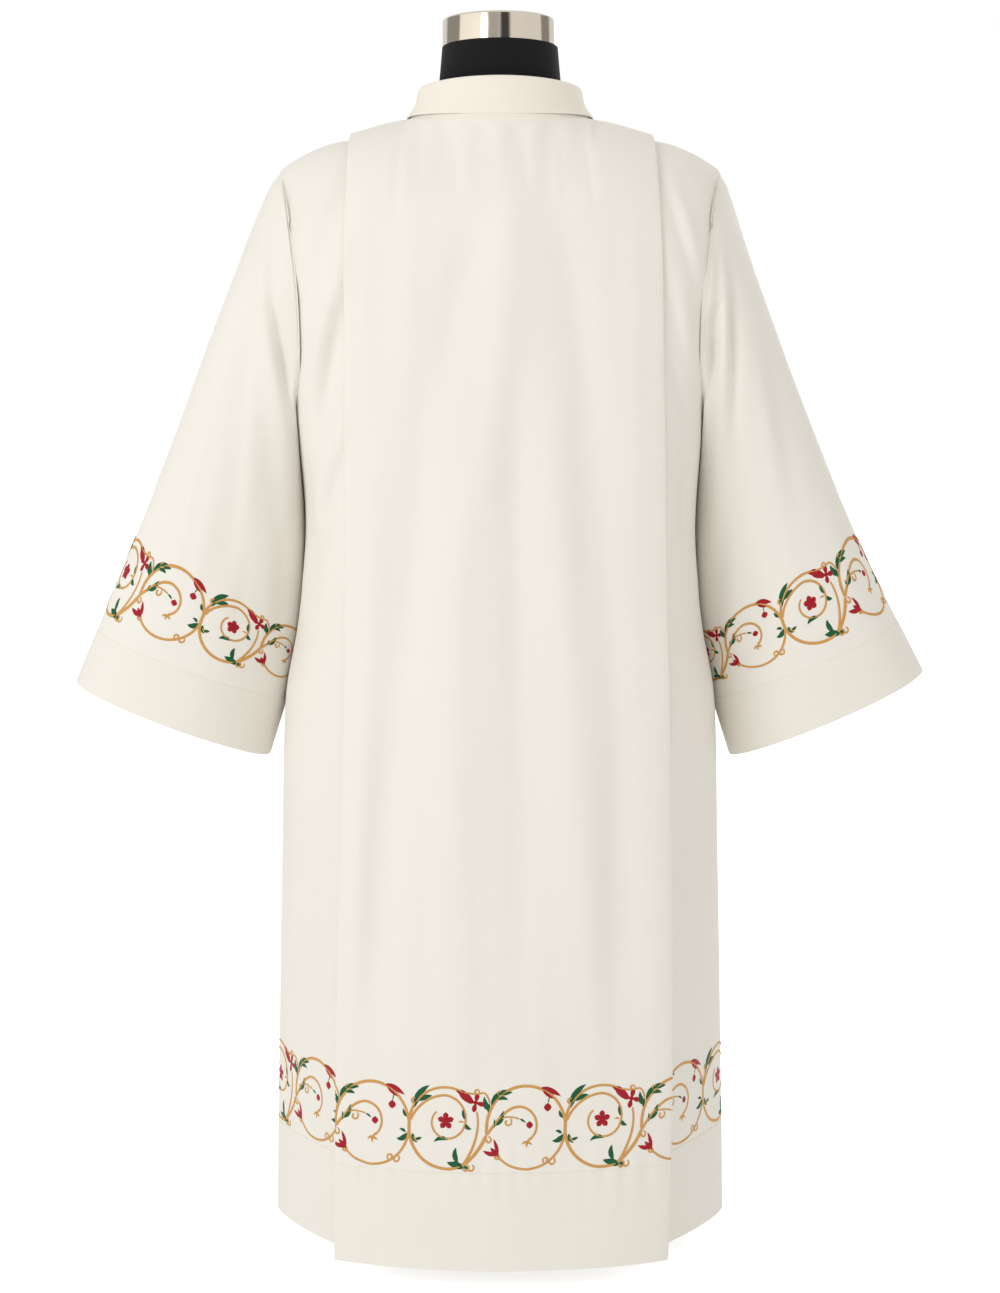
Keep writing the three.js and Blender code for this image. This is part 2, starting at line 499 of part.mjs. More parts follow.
// One point of a sleeve, with x positive on both: angle is round it in degrees, and share is along it.
function sleevePoint(name, angle, share) {
  const spec = sleeves[name];
  const hand = handOf(name);
  const line = rowAt(sleeveLines, 'share', share);
  const back = angle <= 180;
  const ySign = back ? -1 : 1;
  const turn = rad(angle);
  const low = (1 - Math.cos(turn)) / 2;
  const slope = Math.atan2(spec.outer.x - shoulderX, shoulderHeight - spec.outer.z);
  const outer = {
    x: lerp(shoulderX, spec.outer.x, share) + line[name] * Math.cos(slope),
    z: lerp(shoulderHeight, spec.outer.z, share) + line[name] * Math.sin(slope),
  };
  const inner = { x: line.innerX, z: lerp(underarm.z, spec.inner.z, share) };
  const seam = rowAt(armhole, 'at', (back ? angle : 360 - angle) / 180);
  const release = smoothstep(share, 0, sleeveRelease);
  const widest = lerp(armholeDepth, spec.depth, Math.sin(share * Math.PI / 2));
  const depth = widest * Math.abs(Math.sin(turn));
  const p = new THREE.Vector3(
    lerp(outer.x, inner.x, low) + (seam.x - lerp(shoulderX, underarm.x, low)) * (1 - release),
    ySign * lerp(seam.depth, depth, release),
    lerp(outer.z, inner.z, low) + (seam.z - lerp(shoulderHeight, underarm.z, low)) * (1 - release),
  );
  const [around, across] = [Math.cos(turn), Math.abs(Math.sin(turn))];
  const out = new THREE.Vector3(around, ySign * across, sleeveTilt * around);
  const push = foldsAt(sleeveFolds[back ? 'back' : 'front'], hand * p.x, p.z)
    * Math.sqrt(across) * smoothstep(share, 0, sleeveEase);
  p.addScaledVector(out.normalize(), push);
  p.y += line.forward * low ** 1.5;
  const clear = sleeveClearance * smoothstep(share, 0, sleeveEase);
  if (p.z < shoulderHeight - armReach) {
    const body = handed(rowAt(sections[back ? 'back' : 'front'], 'z', p.z), hand);
    p.x = Math.max(p.x, bodyReach(body, p.y) + clear);
  }
  p.x += sleeveSeam;
  return p;
}

// How far along a sleeve a line lies that keeps one distance from the cuff's edge all round.
function shareAtDistance(name, angle, distance) {
  const { outer, inner } = sleeves[name];
  const upper = Math.hypot(outer.x - shoulderX, shoulderHeight - outer.z);
  const lower = Math.hypot(inner.x - underarm.x, underarm.z - inner.z);
  return 1 - distance / lerp(upper, lower, (1 - Math.cos(rad(angle))) / 2);
}

// Rings of a sleeve between two distances from the cuff's edge. farthest null is the armhole.
function sleeveGrid(name, rows, farthest, nearest) {
  const hand = handOf(name);
  const grid = [];
  for (let i = 0; i < sleeveSteps; i++) {
    const angle = 360 * i / sleeveSteps;
    const first = farthest === null ? 0 : shareAtDistance(name, angle, farthest);
    const last = shareAtDistance(name, angle, nearest);
    grid.push(rows.map((row) => {
      const p = sleevePoint(name, angle, lerp(first, last, row));
      return new THREE.Vector3(hand * p.x, p.y, p.z);
    }));
  }
  return hand < 0 ? grid : grid.reverse();
}

// ---- Collar ----
// The neckline's curve: angle 0 is the centre back, and positive angles go round by the right.
function necklinePoint(angle) {
  const back = Math.abs(angle) <= 90;
  const depth = back ? neckDepth.back : neckDepth.front;
  const x = neckX * Math.sin(rad(angle));
  const share = Math.sin(rad(angle)) ** 2;
  const z = lerp(back ? neckHeight.back : neckHeight.front, neckHeight.side, share);
  return new THREE.Vector3(x, -depth * Math.cos(rad(angle)), z);
}

function collarGrid(profile, endGap, steps) {
  const last = 180 - THREE.MathUtils.radToDeg(Math.asin(endGap / neckX));
  const grid = [];
  for (let i = 0; i <= steps; i++) {
    const angle = lerp(-last, last, i / steps);
    const seam = necklinePoint(angle);
    const sideShare = Math.sin(rad(angle)) ** 2;
    const end = Math.abs(angle) <= 90 ? 'Back' : 'Front';
    const outward = new THREE.Vector3(seam.x, seam.y, 0).normalize();
    grid.push(profile.map((row) => {
      const p = seam.clone().addScaledVector(outward, lerp(row[`out${end}`], row.outSide, sideShare));
      p.z += lerp(row[`up${end}`], row.upSide, sideShare);
      return p;
    }));
  }
  return grid;
}

// ---- Dress form ----
function torsoGeometry() {
  const steps = 32;
  const rings = torsoSections.map((s) => {
    const ring = [];
    for (let i = 0; i < steps; i++) {
      const angle = 2 * Math.PI * i / steps;
      const depth = Math.sin(angle) < 0 ? s.back : s.front;
      const rounded = (v) => Math.sign(v) * Math.abs(v) ** (2 / s.round);
      ring.push(new THREE.Vector3(s.side * rounded(Math.cos(angle)), depth * rounded(Math.sin(angle)), s.z));
    }
    return ring;
  });
  const positions = rings.flat().flatMap((p) => p.toArray());
  const bottom = positions.length / 3;
  positions.push(0, 0, torsoSections[0].z, 0, 0, torsoSections[torsoSections.length - 1].z);
  const index = [];
  for (let i = 0; i < steps; i++) {
    const next = (i + 1) % steps;
    for (let j = 0; j < rings.length - 1; j++) {
      const [a, b, c, d] = [j * steps + i, j * steps + next, (j + 1) * steps + next, (j + 1) * steps + i];
      index.push(a, b, c, a, c, d);
    }
    const topRing = (rings.length - 1) * steps;
    index.push(bottom, next, i, bottom + 1, topRing + i, topRing + next);
  }
  return indexed(positions, index);
}

// A turned piece: points are [radius, height], from the axis at the bottom to the axis at the top.
function turned(points, steps = 32) {
  return new THREE.LatheGeometry(points.map(([r, z]) => new THREE.Vector2(r, z)), steps).rotateX(Math.PI / 2);
}

const capGeometry = turned([[0, neckCap.bottom], [neckCap.radius, neckCap.bottom],
  [neckCap.radius, neckCap.top - neckCap.edge], [neckCap.radius - neckCap.edge, neckCap.top - 0.4],
  [neckCap.radius * 0.6, neckCap.top + neckCap.crown * 0.7], [0, neckCap.top + neckCap.crown]], 40);
const poleGeometry = turned([[0, pole.bottom], [pole.radius, pole.bottom],
  [pole.radius, pole.top], [0, pole.top]], 24);
const bore = pole.radius + seamGap;
const socketGeometry = turned([[bore, pole.bottom], [socket.lip, pole.bottom],
  [socket.lip, socket.lipTop], [socket.radius, socket.lipTop + 4],
  [socket.radius - 2, socket.top], [bore, socket.top], [bore, pole.bottom]], 24);
const baseGeometry = turned([[0, 0], [base.radius - 1, 0], [base.radius, 1],
  [base.radius, base.height - base.edge], [base.radius - base.edge, base.height], [0, base.height]], 40);

// ---- Front opening ----
const wasm = await Module();
wasm.setup();

function solidOf(geometry) {
  const bare = geometry.clone();
  bare.deleteAttribute('normal');
  bare.deleteAttribute('uv');
  const merged = mergeVertices(bare, 1e-4);
  return new wasm.Manifold(new wasm.Mesh({
    numProp: 3,
    vertProperties: new Float32Array(merged.attributes.position.array),
    triVerts: new Uint32Array(merged.index.array),
  }));
}

// rise is how far the cut runs past the neckline, and forward is its middle, in front of the neckline.
const cutter = { depth: 120, rise: 40, forward: 40 };
function withSlit(geometry) {
  const height = slitLength + cutter.rise;
  const box = new THREE.BoxGeometry(slitWidth, cutter.depth, height);
  box.translate(0, neckDepth.front + cutter.forward, neckHeight.front - slitLength + height / 2);
  const cut = solidOf(geometry).subtract(solidOf(box)).getMesh();
  return indexed(Array.from(cut.vertProperties), Array.from(cut.triVerts));
}

// ---- Assembly ----
const creamCloth = { color: 0xf3efe2, roughness: 0.85, metalness: 0 };
const collarCloth = { color: 0xf3ecdc, roughness: 0.85, metalness: 0 };
const blackJersey = { color: 0x17181a, roughness: 0.9, metalness: 0 };
const polishedSteel = { color: 0xd8d4cc, roughness: 0.15, metalness: 1 };
const paintedSteel = { color: 0x2a2b2d, roughness: 0.5, metalness: 0.6 };

const surplice = new THREE.Group();
function add(name, geometry, finish) {
  const mesh = new THREE.Mesh(geometry, new THREE.MeshStandardMaterial(finish));
  mesh.name = name;
  surplice.add(mesh);
}

add('form_base', baseGeometry, paintedSteel);
add('form_pole_socket', socketGeometry, paintedSteel);
add('form_pole', poleGeometry, polishedSteel);
add('form_torso', torsoGeometry(), blackJersey);
add('form_neck_cap', capGeometry, polishedSteel);

add('back', wallGeometry(panelGrid('back'), singleCloth), creamCloth);
add('back_hem_band', wallGeometry(bandGrid('back'), doubledCloth), creamCloth);
add('front', withSlit(wallGeometry(panelGrid('front').reverse(), singleCloth)), creamCloth);
add('front_hem_band', wallGeometry(bandGrid('front').reverse(), doubledCloth), creamCloth);

for (const name of ['right', 'left']) {
  const main = sleeveGrid(name, mainRows, null, cuffBandHeight + seamGap / 2);
  const cuff = sleeveGrid(name, [0, 0.5, 1], cuffBandHeight - seamGap / 2, 0);
  add(`sleeve_${name}`, wallGeometry(main, singleCloth, true), creamCloth);
  add(`cuff_band_${name}`, wallGeometry(cuff, doubledCloth, true), creamCloth);
}
add('collar_stand', wallGeometry(collarGrid(standProfile, standEnd, 40), collarWall), collarCloth);
add('collar_fall', wallGeometry(collarGrid(fallProfile, fallEnd, 40), collarWall), collarCloth);

export default surplice;
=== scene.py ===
import math
import bpy
import numpy as np
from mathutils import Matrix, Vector


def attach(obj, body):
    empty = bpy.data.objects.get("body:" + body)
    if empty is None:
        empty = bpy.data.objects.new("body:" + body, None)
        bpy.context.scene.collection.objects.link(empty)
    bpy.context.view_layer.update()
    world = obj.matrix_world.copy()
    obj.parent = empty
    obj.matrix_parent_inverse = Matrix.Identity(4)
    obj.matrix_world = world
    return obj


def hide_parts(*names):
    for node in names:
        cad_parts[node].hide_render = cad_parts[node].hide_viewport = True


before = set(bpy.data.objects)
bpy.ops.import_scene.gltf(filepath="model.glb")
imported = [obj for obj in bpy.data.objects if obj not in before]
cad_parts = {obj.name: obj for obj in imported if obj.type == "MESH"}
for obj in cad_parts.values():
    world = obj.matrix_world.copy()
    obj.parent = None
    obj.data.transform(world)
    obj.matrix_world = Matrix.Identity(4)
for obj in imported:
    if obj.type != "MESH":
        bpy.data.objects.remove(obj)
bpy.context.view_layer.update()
print("frame loaded")

# All cloth sizes below are in millimetres. The body of the garment faces -Y with its back.
mm = 0.001


def table(columns, rows):
    return {name: np.array([row[i] for row in rows], float) for i, name in enumerate(columns.split())}


def lerp(a, b, t):
    return a + (b - a) * t


def smoothstep(value, low, high):
    t = np.clip((value - low) / (high - low), 0, 1)
    return t * t * (3 - 2 * t)


# a smooth curve from a to b with the slopes that it has there
def curve(a, slopeA, b, slopeB, t):
    return ((2 * t**3 - 3 * t**2 + 1) * a + (t**3 - 2 * t**2 + t) * slopeA
            + (3 * t**2 - 2 * t**3) * b + (t**3 - t**2) * slopeB)


# a table's row at values of its key, on a smooth curve through the rows
def rowAt(rows, key, value):
    k = rows[key]
    v = np.clip(np.asarray(value, float), k[0], k[-1])
    i = np.clip(np.searchsorted(k, v, side="right") - 1, 0, len(k) - 2)
    span = k[i + 1] - k[i]
    t = (v - k[i]) / span
    before, after = np.maximum(i - 1, 0), np.minimum(i + 2, len(k) - 1)
    found = {}
    for name, c in rows.items():
        rise = c[i + 1] - c[i]
        slope1 = np.where(i > 0, (c[i + 1] - c[before]) / (k[i + 1] - k[before]) * span, rise)
        slope2 = np.where(i < len(k) - 2, (c[after] - c[i]) / (k[after] - k[i]) * span, rise)
        found[name] = curve(c[i], slope1, c[i + 1], slope2, t)
    return found


# a node's output, which sums and products turn into new nodes
class Value:
    def __init__(self, material, socket):
        self.material, self.socket = material, socket

    def math(self, operation, other=None):
        return self.material.node("ShaderNodeMath", {"operation": operation}, 0, self, other)

    def __add__(self, other):
        return self.math("ADD", other)

    def __mul__(self, other):
        return self.math("MULTIPLY", other)

    def sine(self):
        return self.math("SINE")


class Finish:
    def __init__(self, name, **constants):
        self.made = bpy.data.materials.new(name)
        self.made.use_nodes = True
        self.tree = self.made.node_tree
        self.shader = self.tree.nodes["Principled BSDF"]
        for socket, value in constants.items():
            self.shader.inputs[socket.replace("_", " ")].default_value = value

    # any node: its type, its settings, which output is wanted, then its inputs in order or by name
    def node(self, kind, settings=None, output=0, *inputs, **named):
        made = self.tree.nodes.new(kind)
        for key, value in (settings or {}).items():
            setattr(made, key, value)
        for key, value in [*enumerate(inputs), *named.items()]:
            if isinstance(value, Value):
                self.tree.links.new(value.socket, made.inputs[key])
            elif value is not None:
                made.inputs[key].default_value = value
        return Value(self, made.outputs[output])

    # the sockets between the factor and the two colours belong to the node's other data types
    def mix(self, factor, a, b):
        return self.node("ShaderNodeMix", {"data_type": "RGBA"}, 2, factor, *[None] * 5, a, b)

    def noise(self, where, scale, detail):
        return self.node("ShaderNodeTexNoise", Vector=where, Scale=scale, Detail=detail)

    def bands(self, where, scale, distortion):
        return self.node("ShaderNodeTexWave", {"bands_direction": "Z"}, 1,
                         Vector=where, Scale=scale, Distortion=distortion)

    def objectPlace(self):
        return self.node("ShaderNodeTexCoord", None, 3)

    # the piece's own UV in metres, then its two lengths apart
    def threadPlace(self):
        uv = self.node("ShaderNodeUVMap", {"uv_map": "thread"})
        return uv, *(self.node("ShaderNodeSeparateXYZ", None, part, Vector=uv) for part in (0, 1))

    def feed(self, socket, value):
        self.tree.links.new(value.socket, self.shader.inputs[socket])

    def bump(self, height, distance, strength=1.0):
        self.feed("Normal", self.node("ShaderNodeBump", Strength=strength, Distance=distance, Height=height))


def colour(red, green, blue):
    return tuple(c / 12.92 if c <= 0.04045 else ((c + 0.055) / 1.055) ** 2.4
                 for c in (red / 255, green / 255, blue / 255)) + (1,)


view = {"distance": 2.36, "height": 0.854, "down": 5.186, "lens": 61.8, "sensor": 36}
camera = bpy.data.objects.new("camera", bpy.data.cameras.new("camera"))
bpy.context.scene.collection.objects.link(camera)
camera.location = (0, -view["distance"], view["height"])
camera.rotation_euler = (math.radians(90 - view["down"]), 0, 0)
camera.data.lens = view["lens"]
camera.data.sensor_width = view["sensor"]
bpy.context.scene.camera = camera
bpy.context.scene.view_settings.view_transform = "Standard"
bpy.context.scene.view_settings.look = "None"

studio = {
    "key": 33.5, "fill": 5, "top": 1, "back": 26, "floorSize": 80, "floorGlow": 0.7,
    "ambient": (0.775, 0.756, 0.722, 1), "seenWhite": (1, 1, 1, 1),
}


def softLight(name, place, target, size, watts, tint=(1, 1, 1)):
    lamp = bpy.data.lights.new(name, "AREA")
    lamp.shape, lamp.size, lamp.size_y = "RECTANGLE", size[0], size[1]
    lamp.energy, lamp.color = watts, tint
    light = bpy.data.objects.new(name, lamp)
    bpy.context.scene.collection.objects.link(light)
    light.location = place
    light.rotation_euler = (Vector(target) - Vector(place)).to_track_quat("-Z", "Y").to_euler()
    return light


softLight("key_light", (-2.15, -2.4, 1.5), (0, 0, 0.75), (1.8, 1.8), studio["key"], (1, 0.99, 0.99))
softLight("fill_light", (2.6, -2.2, 1.5), (0, 0, 0.7), (1.6, 1.8), studio["fill"], (1, 0.96, 0.88))
softLight("top_light", (0, -0.2, 3.4), (0, 0, 0), (2.6, 2.6), studio["top"])
softLight("front_light", (1.2, 3.0, 1.9), (0, 0, 0.7), (1.8, 1.8), studio["back"])

world = bpy.data.worlds.new("studio")
world.use_nodes = True
bpy.context.scene.world = world
backdrop = world.node_tree.nodes["Background"]
seen = world.node_tree.nodes.new("ShaderNodeLightPath")
level = world.node_tree.nodes.new("ShaderNodeMix")
level.data_type = "RGBA"
level.inputs[6].default_value, level.inputs[7].default_value = studio["ambient"], studio["seenWhite"]
world.node_tree.links.new(seen.outputs["Is Camera Ray"], level.inputs[0])
world.node_tree.links.new(level.outputs[2], backdrop.inputs["Color"])

bpy.ops.mesh.primitive_plane_add(size=studio["floorSize"])
floor = bpy.context.object
floor.name = "studio_floor"
paleFloor = Finish("pale_floor", Roughness=0.9, Specular_IOR_Level=0.05, Emission_Color=(1, 1, 1, 1),
                   Emission_Strength=studio["floorGlow"])
mottle = paleFloor.noise(None, 3.0, 2.0)
paleFloor.feed("Base Color", paleFloor.mix(mottle, (0.93, 0.93, 0.93, 1), (0.96, 0.96, 0.96, 1)))
floor.data.materials.append(paleFloor.made)
floor.visible_diffuse = False  # the cloth is lit from below by the studio alone

# cards out of sight, for the polished cap to reflect: azimuth from the camera's side, in degrees
cards = table("azimuth width level", [
    (-110, 44, 0.32), (-62, 50, 1.1), (-13, 22, 0.46), (10, 19, 0.06), (55, 68, 0.8), (103, 26, 0.28)])
cardRow = {"reach": 1.7, "tall": 0.9, "height": 1.7, "tint": (1, 0.95, 0.88)}
for azimuth, width, level in zip(*cards.values()):
    turn = math.radians(azimuth)
    bpy.ops.mesh.primitive_plane_add(size=1)
    card = bpy.context.object
    card.name = f"card_{int(azimuth)}"
    card.scale = (2 * cardRow["reach"] * math.tan(math.radians(width / 2)), cardRow["tall"], 1)
    card.location = (cardRow["reach"] * math.sin(turn), -cardRow["reach"] * math.cos(turn), cardRow["height"])
    card.rotation_euler = (math.radians(90), 0, turn)
    glow = Finish(f"card_finish_{int(azimuth)}", Base_Color=(0, 0, 0, 1), Specular_IOR_Level=0.0,
                  Emission_Color=(*(level * c for c in cardRow["tint"]), 1), Emission_Strength=1.0)
    card.data.materials.append(glow.made)
    card.visible_camera = card.visible_diffuse = card.visible_shadow = False
print("camera, light and floor")

cloth = {
    "thread": 0.42, "weaveDepth": 0.00006, "roughness": 0.82, "sheen": 0.12, "sheenSpread": 0.5,
    "specular": 0.25, "deep": 0.965, "slubAcross": 700, "slubAlong": 60, "slubTone": 0.25,
    "toneScale": 9.0, "toneShare": 0.7, "weaveRelief": 0.5, "slubRelief": 0.5,
}


# fine plain weave on the piece's own UV, which is in metres along its threads
def clothFinish(name, base):
    c = cloth
    made = Finish(name, Roughness=c["roughness"], Sheen_Weight=c["sheen"],
                  Sheen_Roughness=c["sheenSpread"], Specular_IOR_Level=c["specular"])
    uv, across, along = made.threadPlace()
    turns = 2 * math.pi / (c["thread"] * mm)
    weave = (across * turns).sine() * (along * turns).sine()
    stretches = (c["slubAcross"], c["slubAlong"], 1), (c["slubAlong"], c["slubAcross"], 1)
    warp, weft = (made.node("ShaderNodeMapping", Vector=uv, Scale=stretch) for stretch in stretches)
    slubs = made.noise(warp, 1.0, 2.0) + made.noise(weft, 1.0, 2.0)
    tone = made.noise(uv, c["toneScale"], 3.0) + slubs * c["slubTone"]
    shade = made.node("ShaderNodeMath", {"operation": "MULTIPLY", "use_clamp": True}, 0, tone, c["toneShare"])
    made.feed("Base Color", made.mix(shade, base, (*(v * c["deep"] for v in base[:3]), 1)))
    made.bump(weave * c["weaveRelief"] + slubs * c["slubRelief"], c["weaveDepth"])
    return made


bodyCloth = clothFinish("cream_twill", colour(242, 239, 232))
bandCloth = clothFinish("cream_twill_doubled", colour(241, 238, 230))
collarCloth = clothFinish("cream_collar_cloth", colour(244, 239, 229))

garment = {
    "bodyCloth": 0.9, "bandCloth": 1.7, "seamGap": 0.3, "hemHeight": 25, "bandHeight": 100,
    "shoulderX": 231, "shoulderHeight": 1139, "neckX": 96, "underarmX": 214, "underarmHeight": 884,
    "armholeDepth": 96, "pleatTuck": 46, "foldRadius": 1.6, "slitLength": 260, "slitWidth": 1.2,
    "shoulderShare": 0.42, "topSection": 1195, "shoulderRound": 105, "armholeRound": 0.5,
    "levelBelow": 868, "edgeRoll": 1.6, "rollWidth": 6, "sharp": 62,
}
g = garment
# how far below a band's seam the cloth stops, tucked into the band, and the band starts
seamEnds = {"cloth": 1.2, "band": 0.15}
neckHeight = {"back": 1179.5, "side": 1190, "front": 1138}
neckDepth = {"back": 91, "front": 97}
sections = {
    "back": table("z pleat centre edge step tuck side drift round", [
        (25, 169.8, 190, 159, 45, 32, 242, 1.2, 1.3), (120, 170.9, 187, 157, 38, 26, 240.5, 3.1, 1.3),
        (290, 170.5, 180, 152, 26, 16, 237, 5, 1.4), (450, 167.8, 172, 145, 17, 9, 233, 6.7, 1.6),
        (540, 165.5, 167, 141, 13, 6.5, 230.5, 7, 1.8), (600, 164.3, 163, 138, 11, 5, 226.5, 7.2, 2.0),
        (660, 163, 159, 135, 9.5, 4, 215, 6.5, 2.1), (710, 162.3, 156.5, 133, 8, 3.2, 209, 6.2, 2.2),
        (780, 161.5, 153, 131, 7, 3.2, 206, 5.5, 2.4), (900, 160.2, 147, 127, 6.6, 3.2, 214, 4.8, 3.4),
        (1040, 159.2, 139, 119, 6.6, 3.2, 224, 3.2, 4.4), (1110, 157.3, 127, 106, 6.6, 3.2, 230, 2.8, 4.2),
        (1195, 157, 108, 92, 6.6, 3.2, 233, 1.5, 4)]),
    "front": table("z pleat centre edge step tuck side drift round", [
        (25, 160, 172, 146, 36, 24, 242, -1, 1.3), (120, 159.5, 169, 144, 30, 19, 240.5, -1, 1.3),
        (290, 158, 163, 140, 21, 12, 237, -1, 1.4), (450, 156, 157, 136, 14, 7, 233, 1, 1.6),
        (540, 155, 154, 134, 11.5, 5.5, 230.5, 2, 1.8), (600, 154, 152, 132, 10, 4.5, 226.5, 2, 2.0),
        (660, 153.5, 150, 131, 8.5, 3.8, 215, 2, 2.1), (710, 153, 149.5, 130, 7.5, 3.2, 209, 2, 2.2),
        (780, 153, 149, 129.5, 7, 3.2, 206, 2, 2.4), (900, 152, 147, 128, 6.6, 3.2, 214, 1, 3.4),
        (1040, 152, 140, 122, 6.6, 3.2, 224, 0, 4.4), (1110, 152, 125, 107, 6.6, 3.2, 230, 0, 4.2),
        (1195, 152, 104, 88, 6.6, 3.2, 233, 0, 4)]),
}
panelRidge = table("x z", [(90, 1192.5), (115, 1188), (136, 1182.5), (160, 1175.5)])
sideRidge = table("x z", [(150, 1170.8), (172, 1167.5), (192, 1161), (212, 1151.5), (231, 1139)])
armhole = table("at x depth z", [
    (0, 231, 0, 1139), (0.12, 226, 36, 1120), (0.26, 218, 68, 1088), (0.42, 210, 91, 1035),
    (0.56, 206, 96, 985), (0.72, 206, 90, 935), (0.86, 210, 60, 897), (1, 214, 0, 884)])
# soft ridges and troughs, as lines seen from behind or before; depth is negative in a trough
folds = {
    "back": table("x1 z1 x2 z2 width depth", [
        (-157, 1112, -201, 998, 9, -3), (-155, 1050, -193, 920, 7, 6.5), (-162, 985, -188, 850, 9, -8),
        (-155, 882, -192, 772, 8, 7), (-162, 845, -190, 738, 10, -9), (-203, 860, -194, 700, 9, -9),
        (-190, 570, -212, 330, 14, 4.5), (-166, 520, -192, 290, 12, -5), (170, 1135, 204, 1010, 8, 5),
        (172, 1100, 198, 1015, 7, -6), (186, 1050, 190, 905, 10, 3.5), (170, 935, 196, 872, 8, -8),
        (188, 850, 187, 740, 8, -10), (180, 560, 188, 300, 10, -4), (16, 1150, 2, 930, 20, 4),
        (2, 955, -42, 700, 22, 4.5), (-42, 745, -54, 250, 24, 5), (-22, 1080, -70, 880, 20, -4.5),
        (-70, 910, -94, 640, 20, -5), (-94, 685, -128, 270, 20, -5), (-88, 1110, -92, 930, 18, 3.5),
        (-126, 860, -133, 560, 15, 3.5), (-134, 600, -150, 300, 13, 4), (12, 900, 21, 620, 20, -4),
        (20, 665, 30, 280, 22, -4.5), (50, 900, 70, 640, 20, 4), (70, 685, 86, 280, 20, 4.5),
        (58, 1095, 92, 880, 20, -4.5), (92, 915, 112, 620, 20, -5), (112, 665, 132, 260, 18, -5)]),
    "front": table("x1 z1 x2 z2 width depth", [
        (-158, 1095, -198, 975, 9, -4), (160, 1090, 197, 960, 9, -4), (-162, 1040, -196, 900, 8, 4.5),
        (163, 1035, 196, 900, 8, 4.5), (-164, 850, -192, 735, 10, -6), (165, 840, 192, 730, 10, -6),
        (-178, 540, -196, 280, 13, -5), (178, 540, 194, 280, 13, -5), (60, 1060, 84, 860, 20, -4.5),
        (84, 895, 104, 620, 20, -5), (104, 660, 122, 250, 20, -5), (-56, 1050, -80, 850, 20, -4.5),
        (-80, 885, -98, 600, 20, -5), (-98, 645, -118, 250, 20, -5), (34, 840, 44, 560, 22, 4),
        (44, 605, 54, 250, 22, 4.5), (-30, 820, -40, 540, 22, 4), (-40, 585, -50, 250, 22, 4.5),
        (2, 700, 4, 420, 20, -4), (4, 460, 0, 240, 20, -4)]),
}
foldEnds = {"first": 0.12, "reach": 0.76}  # how a fold fades along its line
gathers = {"pitch": 34.6, "depth": 1.7, "reach": 95, "fade": 20, "start": 24}
# lighter creases and drag lines, finer than the solids carry
creases = {
    "back": table("x1 z1 x2 z2 width depth", [
        (-100, 1176, -106, 1080, 5, -2.2), (-42, 1176, -44, 1104, 4, -2), (-16, 1178, -15, 1120, 4, 1.8),
        (24, 1178, 26, 1108, 4, -2.2), (54, 1180, 57, 1100, 5, 2), (86, 1182, 94, 1090, 5, -2),
        (-130, 1150, -138, 880, 10, 1.4), (-60, 1090, -66, 760, 12, 1.3), (-20, 1060, -26, 640, 14, -1.3),
        (18, 980, 16, 560, 11, -1.2), (78, 1000, 86, 520, 14, -1.6), (132, 1120, 138, 760, 10, 1.4),
        (-140, 640, -146, 230, 12, 1.3), (-88, 560, -94, 180, 10, 1.2), (-34, 470, -36, 150, 9, 1.1),
        (34, 520, 38, 170, 12, 1.3), (88, 600, 96, 190, 12, 1.3), (110, 480, 120, 150, 9, -1),
        (-166, 1130, -208, 1060, 7, 2.4), (-160, 1010, -196, 880, 7, 2.6), (-164, 960, -200, 810, 8, -2.6),
        (166, 1060, 198, 925, 7, 2.4), (168, 1000, 204, 880, 7, -2.5), (172, 780, 208, 700, 8, 2.2),
        (-186, 640, -196, 240, 11, -1.6), (-214, 560, -220, 200, 10, 1.4), (190, 640, 200, 240, 11, -1.6),
        (216, 560, 224, 200, 10, 1.4)]),
    "front": table("x1 z1 x2 z2 width depth", [
        (-52, 1150, -60, 1010, 6, -1.2), (50, 1150, 58, 1010, 6, -1.2), (-100, 1160, -110, 900, 10, 1.3),
        (104, 1160, 112, 900, 10, 1.3), (-20, 860, -24, 500, 12, 1.2), (22, 820, 24, 480, 12, -1.2),
        (-70, 560, -78, 180, 10, -1.2), (74, 560, 82, 180, 10, -1.2), (-164, 1000, -198, 850, 8, 1.5),
        (166, 1000, 198, 850, 8, 1.5), (-188, 640, -198, 240, 11, -1.6), (190, 640, 200, 240, 11, -1.6),
        (-214, 560, -220, 200, 10, 1.4), (216, 560, 222, 200, 10, 1.4)]),
}
# where the hem band's seam draws the cloth in
puckers = {"pitch": 19.0, "depth": 0.8, "reach": 24, "stagger": 1.7, "staggerPitch": 31,
           "least": 0.45, "swellPitch": 47}
sway = {"waves": 9, "pitch": (55, 190), "lean": 0.16, "slowPitch": (90, 240), "rise": 0.0021, "least": 0.6,
        "seed": {"back": 5, "front": 8}}


def foldsAt(rows, x, z):
    out = np.zeros(np.broadcast(x, z).shape)
    for x1, z1, x2, z2, width, depth in zip(*rows.values()):
        length = math.hypot(x2 - x1, z2 - z1)
        along = ((x - x1) * (x2 - x1) + (z - z1) * (z2 - z1)) / length**2
        across = ((x - x1) * (z2 - z1) - (z - z1) * (x2 - x1)) / length
        fade = np.sin(np.pi * np.clip(foldEnds["first"] + along * foldEnds["reach"], 0, 1))
        out += depth * fade * np.exp(-((across / width) ** 2))
    return out


